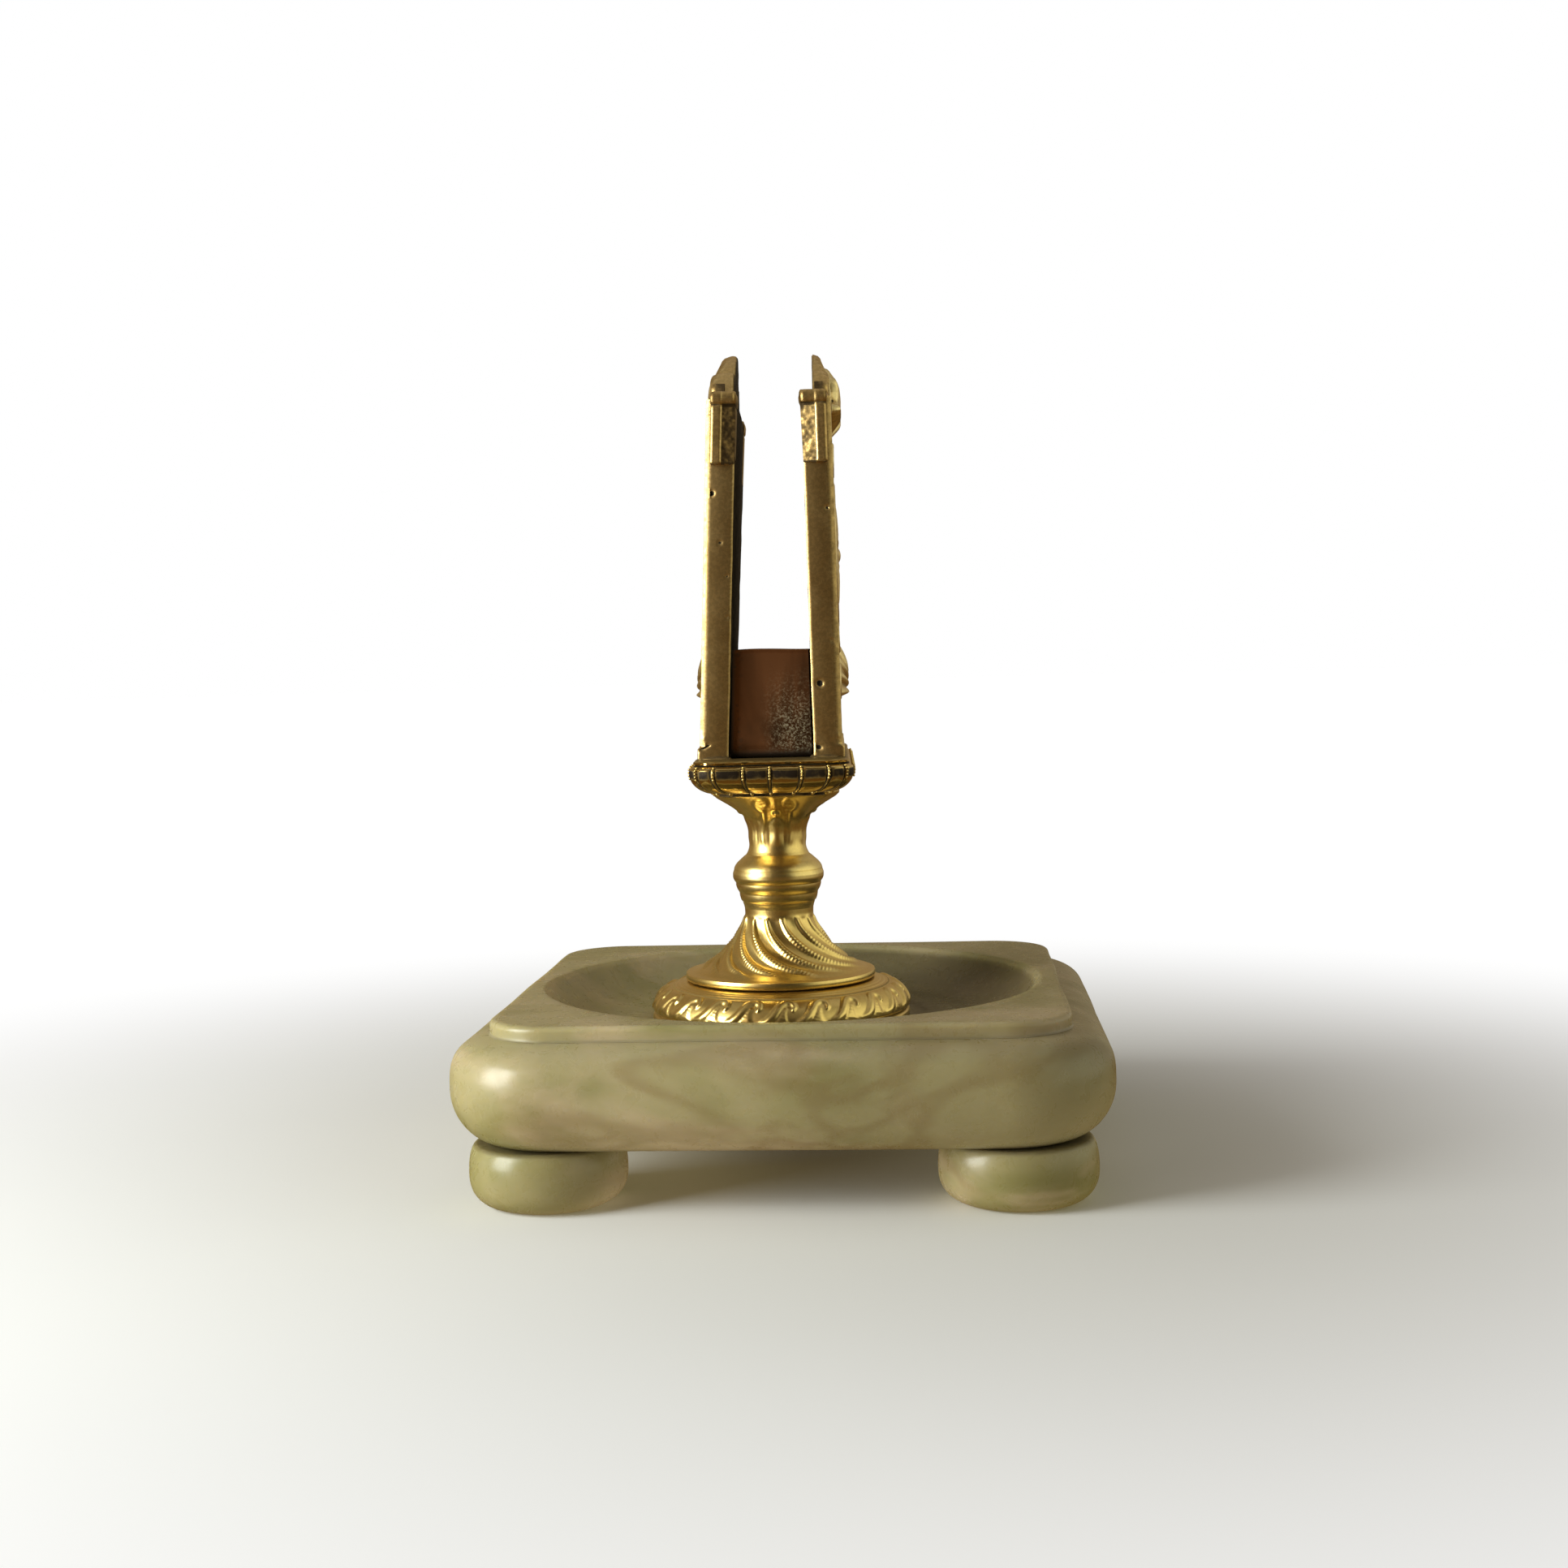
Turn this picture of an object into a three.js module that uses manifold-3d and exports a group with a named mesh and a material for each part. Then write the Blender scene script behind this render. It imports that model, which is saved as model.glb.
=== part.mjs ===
// A table matchbox holder: an onyx ash dish on four bun feet, with a gilt brass stem that carries
// two upright cast plates. The box of matches stands between the plates, in a low copper pocket.
// Millimetres, +Z up. The origin is on the table, below the middle of the dish. X runs across the
// plates, and Y runs along them, away from the near end of the pocket.

import * as THREE from 'three';
import { mergeVertices } from 'three/addons/utils/BufferGeometryUtils.js';
import Module from 'manifold-3d';

const wasm = await Module();
wasm.setup();

// ---------------------------------------------------------------- driving dimensions

const GAP = 0.3; // clearance between pieces that are fitted to each other

const dish = {
  halfX: 60,
  halfY: 59,
  cornerRadius: 20,
  bottom: 11.4,
  middle: 21.4, // height at which the sides stand out furthest
  halfHeight: 10,
  lowerInset: 9.2, // how far the sides pull in towards the underside
  upperInset: 17.3, // the same for the shoulder, whose curve stops at the panel
  shoulderPower: 3.3,
  panelInset: 7.6,
  panelTop: 33.7,
  panelEdge: 0.8, // radius of the panel's worn edge
  bowlRadius: 48.4,
  bowlFloor: 26.5,
  boreRadius: 3.7,
  counterboreRadius: 11.5,
  counterboreTop: 18.6,
};

const foot = {
  x: 42.4,
  y: 40.4,
  radius: 14.3,
  restRadius: 9.2,
  neckRadius: 12.8,
  widest: 5.8,
  height: dish.bottom,
};

const pin = { radius: 1.6, bottom: 4.5, top: 17.5 };

const stem = {
  x: -2.4, // the dish is bored a little off its middle
  turn: THREE.MathUtils.degToRad(2.7), // the way the holder is turned on the dish
  rodRadius: 2.9,
  rodBottom: 11.9,
  rodTop: 76.4,
  bore: 3.2,
};

const waveRing = { outer: 25.5, inner: 14, bottom: dish.bowlFloor, top: 34 };

const spiralFoot = { discRadius: 18.75, bottom: 34.3, discTop: 35.8, top: 48.2 };

const knop = { bottom: spiralFoot.top, top: 58.8 };

const neck = { bottom: knop.top, top: 71.9, topHalf: 12.6 };

const tray = { halfX: 14.8, halfY: 34, cornerRadius: 5, bottom: neck.top, top: 79.1 };

const plate = {
  halfLength: 29,
  thickness: 4.4,
  bottom: tray.top,
  ledge: 133,
  earTop: 145.9,
  earStandOut: 1.5,
  earWidth: 8,
  crestTop: 156,
  crestHalf: 10,
};

// Distance of each plate's inner face from the middle of the pocket, at its foot and at its ears,
// at the near end and at the far end. The castings lean inwards and aren't quite alike.
const leftInner = { footNear: 7.8, footFar: 9.2, topNear: 4.8, topFar: 5.5 };
const rightInner = { footNear: 7.85, footFar: 7.85, topNear: 7.05, topFar: 7.05 };

const liner = {
  sheet: 0.8,
  halfLength: 27.6,
  bottom: tray.top,
  top: 99.1,
};

const nut = { acrossFlats: 10, bottom: 12.6, top: 16.2 };
const steelWasher = { radius: 8.5, bottom: 16.3, top: 17.4 };
const fibreWasher = { radius: 9.5, bottom: 17.5, top: 18.5 };

// ---------------------------------------------------------------- finishes

const onyx = new THREE.MeshStandardMaterial({ color: 0xa9a37e, roughness: 0.25, metalness: 0 });
const gilt = new THREE.MeshStandardMaterial({ color: 0xc59a3c, roughness: 0.28, metalness: 1 });
const castBrass = new THREE.MeshStandardMaterial({ color: 0x8a6f38, roughness: 0.45, metalness: 1 });
const copper = new THREE.MeshStandardMaterial({ color: 0x6b3d20, roughness: 0.5, metalness: 1 });
const steel = new THREE.MeshStandardMaterial({ color: 0x77746e, roughness: 0.4, metalness: 1 });
const fibre = new THREE.MeshStandardMaterial({ color: 0x5a2a20, roughness: 0.9, metalness: 0 });

// ---------------------------------------------------------------- tools for shapes

// A closed body from outlines stacked upwards, each a list of [x, y, z] turning anticlockwise.
function stacked(outlines) {
  const count = outlines[0].length;
  const positions = outlines.flat(2);
  const index = [];
  for (let level = 0; level + 1 < outlines.length; level++) {
    for (let i = 0; i < count; i++) {
      const a = level * count + i;
      const b = level * count + (i + 1) % count;
      index.push(a, b, b + count, a, b + count, a + count);
    }
  }
  const top = (outlines.length - 1) * count;
  for (let i = 1; i + 1 < count; i++) {
    index.push(0, i + 1, i);
    index.push(top, top + i, top + i + 1);
  }
  const geometry = new THREE.BufferGeometry();
  geometry.setAttribute('position', new THREE.Float32BufferAttribute(positions, 3));
  geometry.setIndex(index);
  return geometry;
}

// The outline of a rectangle with round corners, at height z.
function roundedOutline(halfX, halfY, radius, z, perCorner = 7) {
  const points = [];
  const corners = [[1, 1, 0], [-1, 1, 1], [-1, -1, 2], [1, -1, 3]];
  for (const [sx, sy, quarter] of corners) {
    for (let i = 0; i <= perCorner; i++) {
      const angle = (quarter + i / perCorner) * Math.PI / 2;
      const x = sx * (halfX - radius) + radius * Math.cos(angle);
      const y = sy * (halfY - radius) + radius * Math.sin(angle);
      points.push([x, y, z]);
    }
  }
  return points;
}

// A turned body from [radius, height] pairs, which start and end on the axis or close on themselves.
function turned(profile, segments = 40) {
  const points = profile.map(([radius, height]) => new THREE.Vector2(radius, height));
  return new THREE.LatheGeometry(points, segments).rotateX(Math.PI / 2);
}

// A turned body with a plain hole down its axis.
function turnedWithBore(outside, bore, segments = 40) {
  const bottom = outside[0][1];
  const top = outside[outside.length - 1][1];
  return turned([[bore, bottom], ...outside, [bore, top], [bore, bottom]], segments);
}

function tube(outer, bore, bottom, top, segments = 24) {
  return turnedWithBore([[outer, bottom], [outer, top]], bore, segments);
}

function rod(radius, bottom, top, segments = 24) {
  return turned([[0, bottom], [radius, bottom], [radius, top], [0, top]], segments);
}

// A three.js geometry as a solid that can be cut and joined, and back again.
function solid(geometry) {
  const bare = geometry.index ? geometry.toNonIndexed() : geometry.clone();
  bare.deleteAttribute('normal');
  bare.deleteAttribute('uv');
  const merged = mergeVertices(bare, 1e-4);
  return new wasm.Manifold(new wasm.Mesh({
    numProp: 3,
    vertProperties: merged.attributes.position.array,
    triVerts: new Uint32Array(merged.index.array),
  }));
}

function geometryOf(body) {
  const mesh = body.getMesh();
  const geometry = new THREE.BufferGeometry();
  geometry.setAttribute('position', new THREE.BufferAttribute(mesh.vertProperties, 3));
  geometry.setIndex(new THREE.BufferAttribute(mesh.triVerts, 1));
  return geometry;
}

function block(x, y, z) {
  const box = new THREE.BoxGeometry(x[1] - x[0], y[1] - y[0], z[1] - z[0]);
  return box.translate((x[0] + x[1]) / 2, (y[0] + y[1]) / 2, (z[0] + z[1]) / 2);
}

function named(name, geometry, material) {
  const mesh = new THREE.Mesh(geometry, material);
  mesh.name = name;
  return mesh;
}

// ---------------------------------------------------------------- the onyx dish and its feet

// How far the dish's side stands in from its widest line, at a height.
function sideInset(z) {
  const t = (z - dish.middle) / dish.halfHeight;
  if (t < 0) return dish.lowerInset * (1 - Math.sqrt(Math.max(0, 1 - t * t)));
  const rest = Math.max(0, 1 - Math.pow(t, dish.shoulderPower));
  return dish.upperInset * (1 - Math.pow(rest, 1 / dish.shoulderPower));
}

function dishBlock() {
  const outlines = [];
  const at = (inset, z) => {
    outlines.push(roundedOutline(dish.halfX - inset, dish.halfY - inset, dish.cornerRadius - inset, z));
  };
  const lowerSteps = 6;
  for (let i = 0; i <= lowerSteps; i++) {
    const z = dish.middle - dish.halfHeight * Math.cos(i / lowerSteps * Math.PI / 2);
    at(sideInset(z), z);
  }
  const shoulder = [0.4, 0.62, 0.77, 0.87, 0.93];
  for (const t of shoulder) {
    const z = dish.middle + dish.halfHeight * t;
    at(sideInset(z), z);
  }
  const panelFoot = dish.middle + dish.halfHeight * 0.955;
  at(dish.panelInset, panelFoot);
  const edge = dish.panelEdge;
  at(dish.panelInset, dish.panelTop - edge);
  at(dish.panelInset + edge * 0.3, dish.panelTop - edge * 0.3);
  at(dish.panelInset + edge, dish.panelTop);
  return stacked(outlines);
}

// The bowl: a flat floor that runs into a round wall, rising to the rim as one arc.
function bowlCutter() {
  const depth = dish.panelTop - dish.bowlFloor;
  const floorRadius = 34.5;
  const run = dish.bowlRadius - floorRadius;
  const arcRadius = (run * run + depth * depth) / (2 * depth);
  const arcEnd = Math.asin(run / arcRadius);
  const steps = 6;
  const profile = [[0, dish.bowlFloor]];
  for (let i = 0; i <= steps; i++) {
    const angle = arcEnd * i / steps;
    const radius = floorRadius + arcRadius * Math.sin(angle);
    profile.push([radius, dish.bowlFloor + arcRadius * (1 - Math.cos(angle))]);
  }
  profile.push([dish.bowlRadius, dish.panelTop + 5], [0, dish.panelTop + 5]);
  return turned(profile, 60);
}

const footPlaces = [
  ['front_left', -foot.x, -foot.y],
  ['front_right', foot.x, -foot.y],
  ['back_left', -foot.x, foot.y],
  ['back_right', foot.x, foot.y],
];

function onyxDish() {
  let body = solid(dishBlock()).subtract(solid(bowlCutter()));
  const bore = rod(dish.boreRadius, 0, dish.panelTop, 32).translate(stem.x, 0, 0);
  const counterbore = rod(dish.counterboreRadius, 0, dish.counterboreTop, 40);
  body = body.subtract(solid(bore)).subtract(solid(counterbore.translate(stem.x, 0, 0)));
  for (const [, x, y] of footPlaces) {
    const hole = rod(pin.radius + GAP, 0, pin.top + GAP, 16).translate(x, y, 0);
    body = body.subtract(solid(hole));
  }
  return geometryOf(body);
}

// A bun foot, with the blind hole for its pin.
function bunFoot() {
  const profile = [[0, 0], [foot.restRadius, 0]];
  const steps = 7;
  for (let i = 1; i <= steps; i++) {
    const z = foot.height * i / steps;
    const below = z < foot.widest;
    const t = below ? 1 - z / foot.widest : (z - foot.widest) / (foot.height - foot.widest);
    const end = below ? foot.restRadius : foot.neckRadius;
    profile.push([end + (foot.radius - end) * Math.sqrt(Math.max(0, 1 - t ** 2.3)), z]);
  }
  const hole = pin.radius + GAP;
  profile.push([hole, foot.height], [hole, pin.bottom - GAP], [0, pin.bottom - GAP]);
  return turned(profile, 28);
}

// ---------------------------------------------------------------- the brass stem

function waveRingBody() {
  const { outer, inner, bottom, top } = waveRing;
  return turnedWithBore([
    [outer - 0.6, bottom], [outer, bottom + 0.6], [outer, bottom + 1.7],
    [outer - 0.4, bottom + 2], [outer - 0.3, bottom + 3], [outer - 1.1, bottom + 4.4],
    [outer - 2.6, bottom + 5.6], [outer - 3.8, bottom + 6.2], [outer - 4.2, bottom + 6.9],
    [outer - 6.2, bottom + 7.2], [outer - 6.8, top],
  ], inner);
}

function spiralFootBody() {
  const { discRadius, bottom, discTop, top } = spiralFoot;
  return turnedWithBore([
    [discRadius, bottom], [discRadius, discTop], [16.2, 36.7], [12.8, 38.3], [10.8, 40],
    [9.5, 41.4], [8.2, 43.1], [7.3, 44.7], [6.8, 46.2], [6.7, top],
  ], stem.bore);
}

function knopBody() {
  return turnedWithBore([
    [6.9, knop.bottom], [7.3, 49.6], [7.7, 50.8], [8.4, 52.4], [8.5, 53.3], [8.9, 53.9],
    [9.0, 54.8], [8.6, 55.9], [7.8, 57.3], [6.6, 58.3], [6.0, knop.top],
  ], stem.bore);
}

// The neck: round below, spreading to a square head with round corners under the tray.
function neckBody() {
  const levels = [
    [5.9, neck.bottom], [5.6, 60.4], [5.4, 62.2], [5.5, 63.8], [6.1, 65.5],
    [7.1, 67], [9.3, 68.7], [11.9, 70.4], [neck.topHalf, 71], [neck.topHalf, neck.top],
  ];
  const outlines = levels.map(([half, z]) => {
    const spread = THREE.MathUtils.clamp((half - 6) / 6, 0, 1);
    return roundedOutline(half, half, half * (1 - 0.55 * spread) - 1e-3, z, 6);
  });
  return geometryOf(solid(stacked(outlines)).subtract(solid(rod(stem.bore, 50, 80))));
}

function trayBody() {
  const profile = [
    [5, tray.bottom], [3.4, 72.7], [1, 74.2], [0.15, 75.7], [0, 77.1], [0.5, 78.4], [1.5, tray.top],
  ];
  const outlines = profile.map(([inset, z]) => {
    const radius = Math.max(tray.cornerRadius - inset * 0.6, 1.5);
    return roundedOutline(tray.halfX - inset, tray.halfY - inset, radius, z, 5);
  });
  return geometryOf(solid(stacked(outlines)).subtract(solid(rod(stem.bore, 60, stem.rodTop + GAP))));
}

// ---------------------------------------------------------------- the two side plates

// Distance from the middle of the pocket to a plate's inner face.
function innerFace(inner, y, z) {
  const up = (z - plate.bottom) / (plate.earTop - plate.bottom);
  const along = (y + plate.halfLength) / (2 * plate.halfLength);
  const near = THREE.MathUtils.lerp(inner.footNear, inner.topNear, up);
  const far = THREE.MathUtils.lerp(inner.footFar, inner.topFar, up);
  return THREE.MathUtils.lerp(near, far, along);
}

// The plate's outline seen from the side, from the bottom corner round to the bottom corner.
function plateOutline() {
  const end = plate.halfLength;
  const out = end + plate.earStandOut;
  const earIn = end - plate.earWidth;
  const shape = new THREE.Shape();
  shape.moveTo(-end, plate.bottom);
  shape.lineTo(end, plate.bottom);
  shape.lineTo(end, plate.ledge);
  shape.lineTo(out, plate.ledge);
  shape.lineTo(out, plate.earTop - 1.5);
  shape.quadraticCurveTo(out, plate.earTop, out - 1.5, plate.earTop);
  shape.lineTo(earIn, plate.earTop);
  shape.quadraticCurveTo(earIn - 5, plate.earTop, earIn - 7, plate.earTop + 4);
  shape.quadraticCurveTo(plate.crestHalf, plate.crestTop, 0, plate.crestTop);
  shape.quadraticCurveTo(-plate.crestHalf, plate.crestTop, 7 - earIn, plate.earTop + 4);
  shape.quadraticCurveTo(5 - earIn, plate.earTop, -earIn, plate.earTop);
  shape.lineTo(1.5 - out, plate.earTop);
  shape.quadraticCurveTo(-out, plate.earTop, -out, plate.earTop - 1.5);
  shape.lineTo(-out, plate.ledge);
  shape.lineTo(-end, plate.ledge);
  shape.closePath();
  return shape;
}

// A low oval boss that stands out of a plate's outer face by height.
function boss(y, z, halfLength, halfHeight, height) {
  const oval = new THREE.SphereGeometry(1, 16, 10);
  return oval.scale(height + 2, halfLength, halfHeight).translate(plate.thickness - 2, y, z);
}

// side is -1 for the left plate and 1 for the right one. The plate is made upright and flat, with
// its inner face at x = 0, and each of its points is then moved out to where the face leans.
function sidePlate(side, inner) {
  const flat = new THREE.ExtrudeGeometry(plateOutline(), {
    depth: plate.thickness,
    bevelEnabled: false,
    curveSegments: 6,
  });
  flat.applyMatrix4(new THREE.Matrix4().set(0, 0, 1, 0, 1, 0, 0, 0, 0, 1, 0, 0, 0, 0, 0, 1));
  const bosses = [
    boss(0, 96, 13, 6.5, 2.4), // the shell, low in the middle
    boss(0, 117, 19, 16, 1.3), // the oval cartouche above it
    boss(0, 148, 8, 6, 1.1), // the crest's leaf
  ];
  let body = solid(flat);
  for (const oval of bosses) body = body.add(solid(oval));
  const foot = block([0.2, plate.thickness + 1.1], [-27, 27], [plate.bottom, plate.bottom + 3]);
  body = body.add(solid(foot));
  const geometry = geometryOf(body);
  const position = geometry.attributes.position;
  for (let i = 0; i < position.count; i++) {
    const [x, y, z] = [position.getX(i), position.getY(i), position.getZ(i)];
    position.setX(i, side * (x + innerFace(inner, y, z)));
  }
  if (side < 0) turnRound(geometry);
  return geometry;
}

// Faces that were mirrored are turned to point outwards again.
function turnRound(geometry) {
  const index = geometry.index;
  for (let i = 0; i < index.count; i += 3) {
    const second = index.getX(i + 1);
    index.setX(i + 1, index.getX(i + 2));
    index.setX(i + 2, second);
  }
}

// ---------------------------------------------------------------- the copper pocket

// A strip of sheet folded up at both ends: its floor lies on the tray, and its two low end walls
// close the space between the plates. It narrows upwards as the plates lean in.
function pocketLiner() {
  const { sheet, halfLength, bottom, top } = liner;
  const strip = [
    [-halfLength, bottom], [halfLength, bottom], [halfLength, top], [halfLength - sheet, top],
    [halfLength - sheet, bottom + sheet], [sheet - halfLength, bottom + sheet],
    [sheet - halfLength, top], [-halfLength, top],
  ];
  const shape = new THREE.Shape(strip.map(([y, z]) => new THREE.Vector2(y, z)));
  const geometry = new THREE.ExtrudeGeometry(shape, { depth: 1, bevelEnabled: false });
  geometry.applyMatrix4(new THREE.Matrix4().set(0, 0, 1, 0, 1, 0, 0, 0, 0, 1, 0, 0, 0, 0, 0, 1));
  const position = geometry.attributes.position;
  for (let i = 0; i < position.count; i++) {
    const [y, z] = [position.getY(i), position.getZ(i)];
    const right = innerFace(rightInner, y, z) - 1.2 * GAP;
    const left = GAP - innerFace(leftInner, y, z);
    position.setX(i, position.getX(i) > 0.5 ? right : left);
  }
  return geometry;
}

// ---------------------------------------------------------------- fixings

function hexNut() {
  const radius = nut.acrossFlats / Math.sqrt(3);
  const hexagon = new THREE.Shape();
  for (let i = 0; i < 6; i++) {
    const angle = i * Math.PI / 3;
    const [x, y] = [radius * Math.cos(angle), radius * Math.sin(angle)];
    if (i === 0) hexagon.moveTo(x, y);
    else hexagon.lineTo(x, y);
  }
  hexagon.closePath();
  hexagon.holes.push(new THREE.Path().absarc(0, 0, stem.bore, 0, 2 * Math.PI, true));
  const depth = nut.top - nut.bottom;
  const geometry = new THREE.ExtrudeGeometry(hexagon, { depth, bevelEnabled: false, curveSegments: 16 });
  return geometry.translate(0, 0, nut.bottom);
}

// ---------------------------------------------------------------- the assembly

const holder = new THREE.Group();

const base = new THREE.Group();
base.add(named('onyx_dish', onyxDish(), onyx));
for (const [place, x, y] of footPlaces) {
  const bun = named(`foot_${place}`, bunFoot(), onyx);
  bun.position.set(x, y, 0);
  const dowel = named(`foot_pin_${place}`, rod(pin.radius, pin.bottom, pin.top, 16), steel);
  dowel.position.set(x, y, 0);
  base.add(bun, dowel);
}
const ring = named('wave_ring', waveRingBody(), gilt);
const soft = named('fibre_washer', tube(fibreWasher.radius, stem.bore, fibreWasher.bottom, fibreWasher.top), fibre);
for (const seated of [ring, soft]) {
  seated.position.x = stem.x;
  base.add(seated);
}

const turning = new THREE.Group();
turning.position.x = stem.x;
turning.rotation.z = stem.turn;
turning.add(
  named('spiral_foot', spiralFootBody(), gilt),
  named('ringed_knop', knopBody(), gilt),
  named('acanthus_neck', neckBody(), gilt),
  named('gadrooned_tray', trayBody(), gilt),
  named('side_plate_left', sidePlate(-1, leftInner), castBrass),
  named('side_plate_right', sidePlate(1, rightInner), castBrass),
  named('pocket_liner', pocketLiner(), copper),
  named('tie_rod', rod(stem.rodRadius, stem.rodBottom, stem.rodTop), steel),
  named('steel_washer', tube(steelWasher.radius, stem.bore, steelWasher.bottom, steelWasher.top), steel),
  named('clamp_nut', hexNut(), steel),
);

holder.add(base, turning);

export default holder;
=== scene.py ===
"""Looks of a square onyx ash dish whose gilt brass stem holds a box of matches upright.

Sizes in the classes are millimetres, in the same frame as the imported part. Meshes are metres.
"""

from __future__ import annotations

import logging
import math
from dataclasses import dataclass, field
from enum import Enum
from typing import ClassVar, Sequence

import bmesh
import bpy
import numpy as np
from mathutils import Matrix, Vector
from numpy.typing import NDArray


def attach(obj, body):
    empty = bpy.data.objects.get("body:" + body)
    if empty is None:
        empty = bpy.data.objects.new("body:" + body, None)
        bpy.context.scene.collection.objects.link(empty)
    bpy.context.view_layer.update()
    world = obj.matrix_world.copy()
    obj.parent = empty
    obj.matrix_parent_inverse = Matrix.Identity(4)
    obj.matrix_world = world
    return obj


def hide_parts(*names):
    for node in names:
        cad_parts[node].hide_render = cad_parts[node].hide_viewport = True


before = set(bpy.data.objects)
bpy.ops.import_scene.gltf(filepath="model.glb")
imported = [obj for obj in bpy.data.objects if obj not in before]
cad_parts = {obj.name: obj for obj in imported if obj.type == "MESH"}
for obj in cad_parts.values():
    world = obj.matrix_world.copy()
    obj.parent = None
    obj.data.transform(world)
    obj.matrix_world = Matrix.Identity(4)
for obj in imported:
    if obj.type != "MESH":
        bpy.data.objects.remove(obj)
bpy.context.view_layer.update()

MM = 0.001
FULL_TURN = 2 * math.pi

# Heights at which one casting of the stem ends and the next starts, in millimetres.
FOOT_TOP = 48.2
KNOP_TOP = 58.8
NECK_TOP = 71.9
TRAY_TOP = 79.1

Points = NDArray[np.float64]
Colour = tuple[float, float, float]

logging.basicConfig(level=logging.INFO, format="%(name)s: %(message)s")
log = logging.getLogger("matchbox_holder")


class Body(Enum):
    """The moving bodies of the part."""

    DISH = "dish"
    HOLDER = "holder"


class Slot(Enum):
    """The record's material slots."""

    ONYX = "onyx"
    GILT = "gilt_brass"
    CAST = "cast_brass"
    COPPER = "copper_sheet"
    STEEL = "steel"
    FIBRE = "fibre"


# ---------------------------------------------------------------- numbers and shapes


def ease(low: float, high: float, value: Points | float) -> Points:
    """A smooth step from 0 at low to 1 at high."""
    t = np.clip((np.asarray(value, float) - low) / (high - low), 0.0, 1.0)
    return t * t * (3 - 2 * t)


def hump(centre: float, width: float, value: Points) -> Points:
    """A bell of height 1 about centre."""
    return np.exp(-(((np.asarray(value, float) - centre) / width) ** 2))


def through(knots: Sequence[tuple[float, float]], at: Points) -> Points:
    """A smooth line through (position, value) knots.

    Args:
        knots: Pairs in rising order of position.
        at: Where the line is wanted.

    Returns:
        The values, from monotone cubic pieces.
    """
    x, y = (np.array(k, float) for k in zip(*knots))
    slope = np.diff(y) / np.diff(x)
    tangent = np.concatenate([[slope[0]], (slope[1:] + slope[:-1]) / 2, [slope[-1]]])
    flat = np.concatenate([[False], slope[1:] * slope[:-1] <= 0, [False]])
    tangent[flat] = 0
    at = np.clip(np.asarray(at, float), x[0], x[-1])
    i = np.clip(np.searchsorted(x, at, side="right") - 1, 0, len(x) - 2)
    width = x[i + 1] - x[i]
    t = (at - x[i]) / width
    a, b = 2 * t**3 - 3 * t**2 + 1, t**3 - 2 * t**2 + t
    c, d = -2 * t**3 + 3 * t**2, t**3 - t**2
    return a * y[i] + b * width * tangent[i] + c * y[i + 1] + d * width * tangent[i + 1]


@dataclass(frozen=True)
class Unevenness:
    """Smooth seeded noise in space, for what a hand or a mould leaves uneven."""

    seed: int
    cells: ClassVar[int] = 32

    def at(self, points: Points, size: float) -> Points:
        """The noise at points.

        Args:
            points: Positions, three numbers each in the last axis.
            size: Width of one lump, in the same unit.

        Returns:
            Values from -1 to 1, one for each point.
        """
        lattice = np.random.default_rng(self.seed).uniform(-1, 1, (self.cells,) * 3)
        p = np.asarray(points, float) / size + 7.3
        low = np.floor(p).astype(int)
        f = p - low
        f = f * f * (3 - 2 * f)
        total = np.zeros(p.shape[:-1])
        for corner in range(8):
            step = np.array([corner & 1, corner >> 1 & 1, corner >> 2 & 1])
            weight = np.prod(np.where(step, f, 1 - f), axis=-1)
            i, j, k = np.moveaxis((low + step) % self.cells, -1, 0)
            total += weight * lattice[i, j, k]
        return total


def softened(field_: Points, passes: int, wrap: bool = False) -> Points:
    """A height field smoothed over its neighbours.

    Args:
        field_: Heights in rows and columns.
        passes: How many times each point takes its neighbours' mean.
        wrap: Whether the last column meets the first.

    Returns:
        The smoothed field.
    """
    out = np.array(field_, float)
    for _ in range(passes):
        padded = np.pad(out, ((1, 1), (0, 0)), mode="edge")
        out = (padded[:-2] + 2 * out + padded[2:]) / 4
        padded = np.pad(out, ((0, 0), (1, 1)), mode="wrap" if wrap else "edge")
        out = (padded[:, :-2] + 2 * out + padded[:, 2:]) / 4
    return out


def softened_round(height: Points, passes: int) -> Points:
    """A repeated cell's height field smoothed, its first and last columns kept the same.

    Args:
        height: Heights whose last column is the next cell's first.
        passes: How many times to smooth.

    Returns:
        The smoothed field.
    """
    core = height[:, :-1]
    count = core.shape[1]
    smooth = softened(np.hstack([core] * 3), passes)[:, count : 2 * count]
    return np.hstack([smooth, smooth[:, :1]])


def wear_of(height: Points, gain: float, passes: int = 6, wrap: bool = False) -> Points:
    """How far each point of a relief stands out of its surroundings.

    Args:
        height: The relief in millimetres.
        gain: Multiplies the difference.
        passes: How wide the surroundings are.
        wrap: Whether the last column meets the first.

    Returns:
        From -1 in a hollow, where dirt stays, to 1 on a crest that hands rub.
    """
    return np.clip((height - softened(height, passes, wrap)) * gain, -1, 1)


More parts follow.
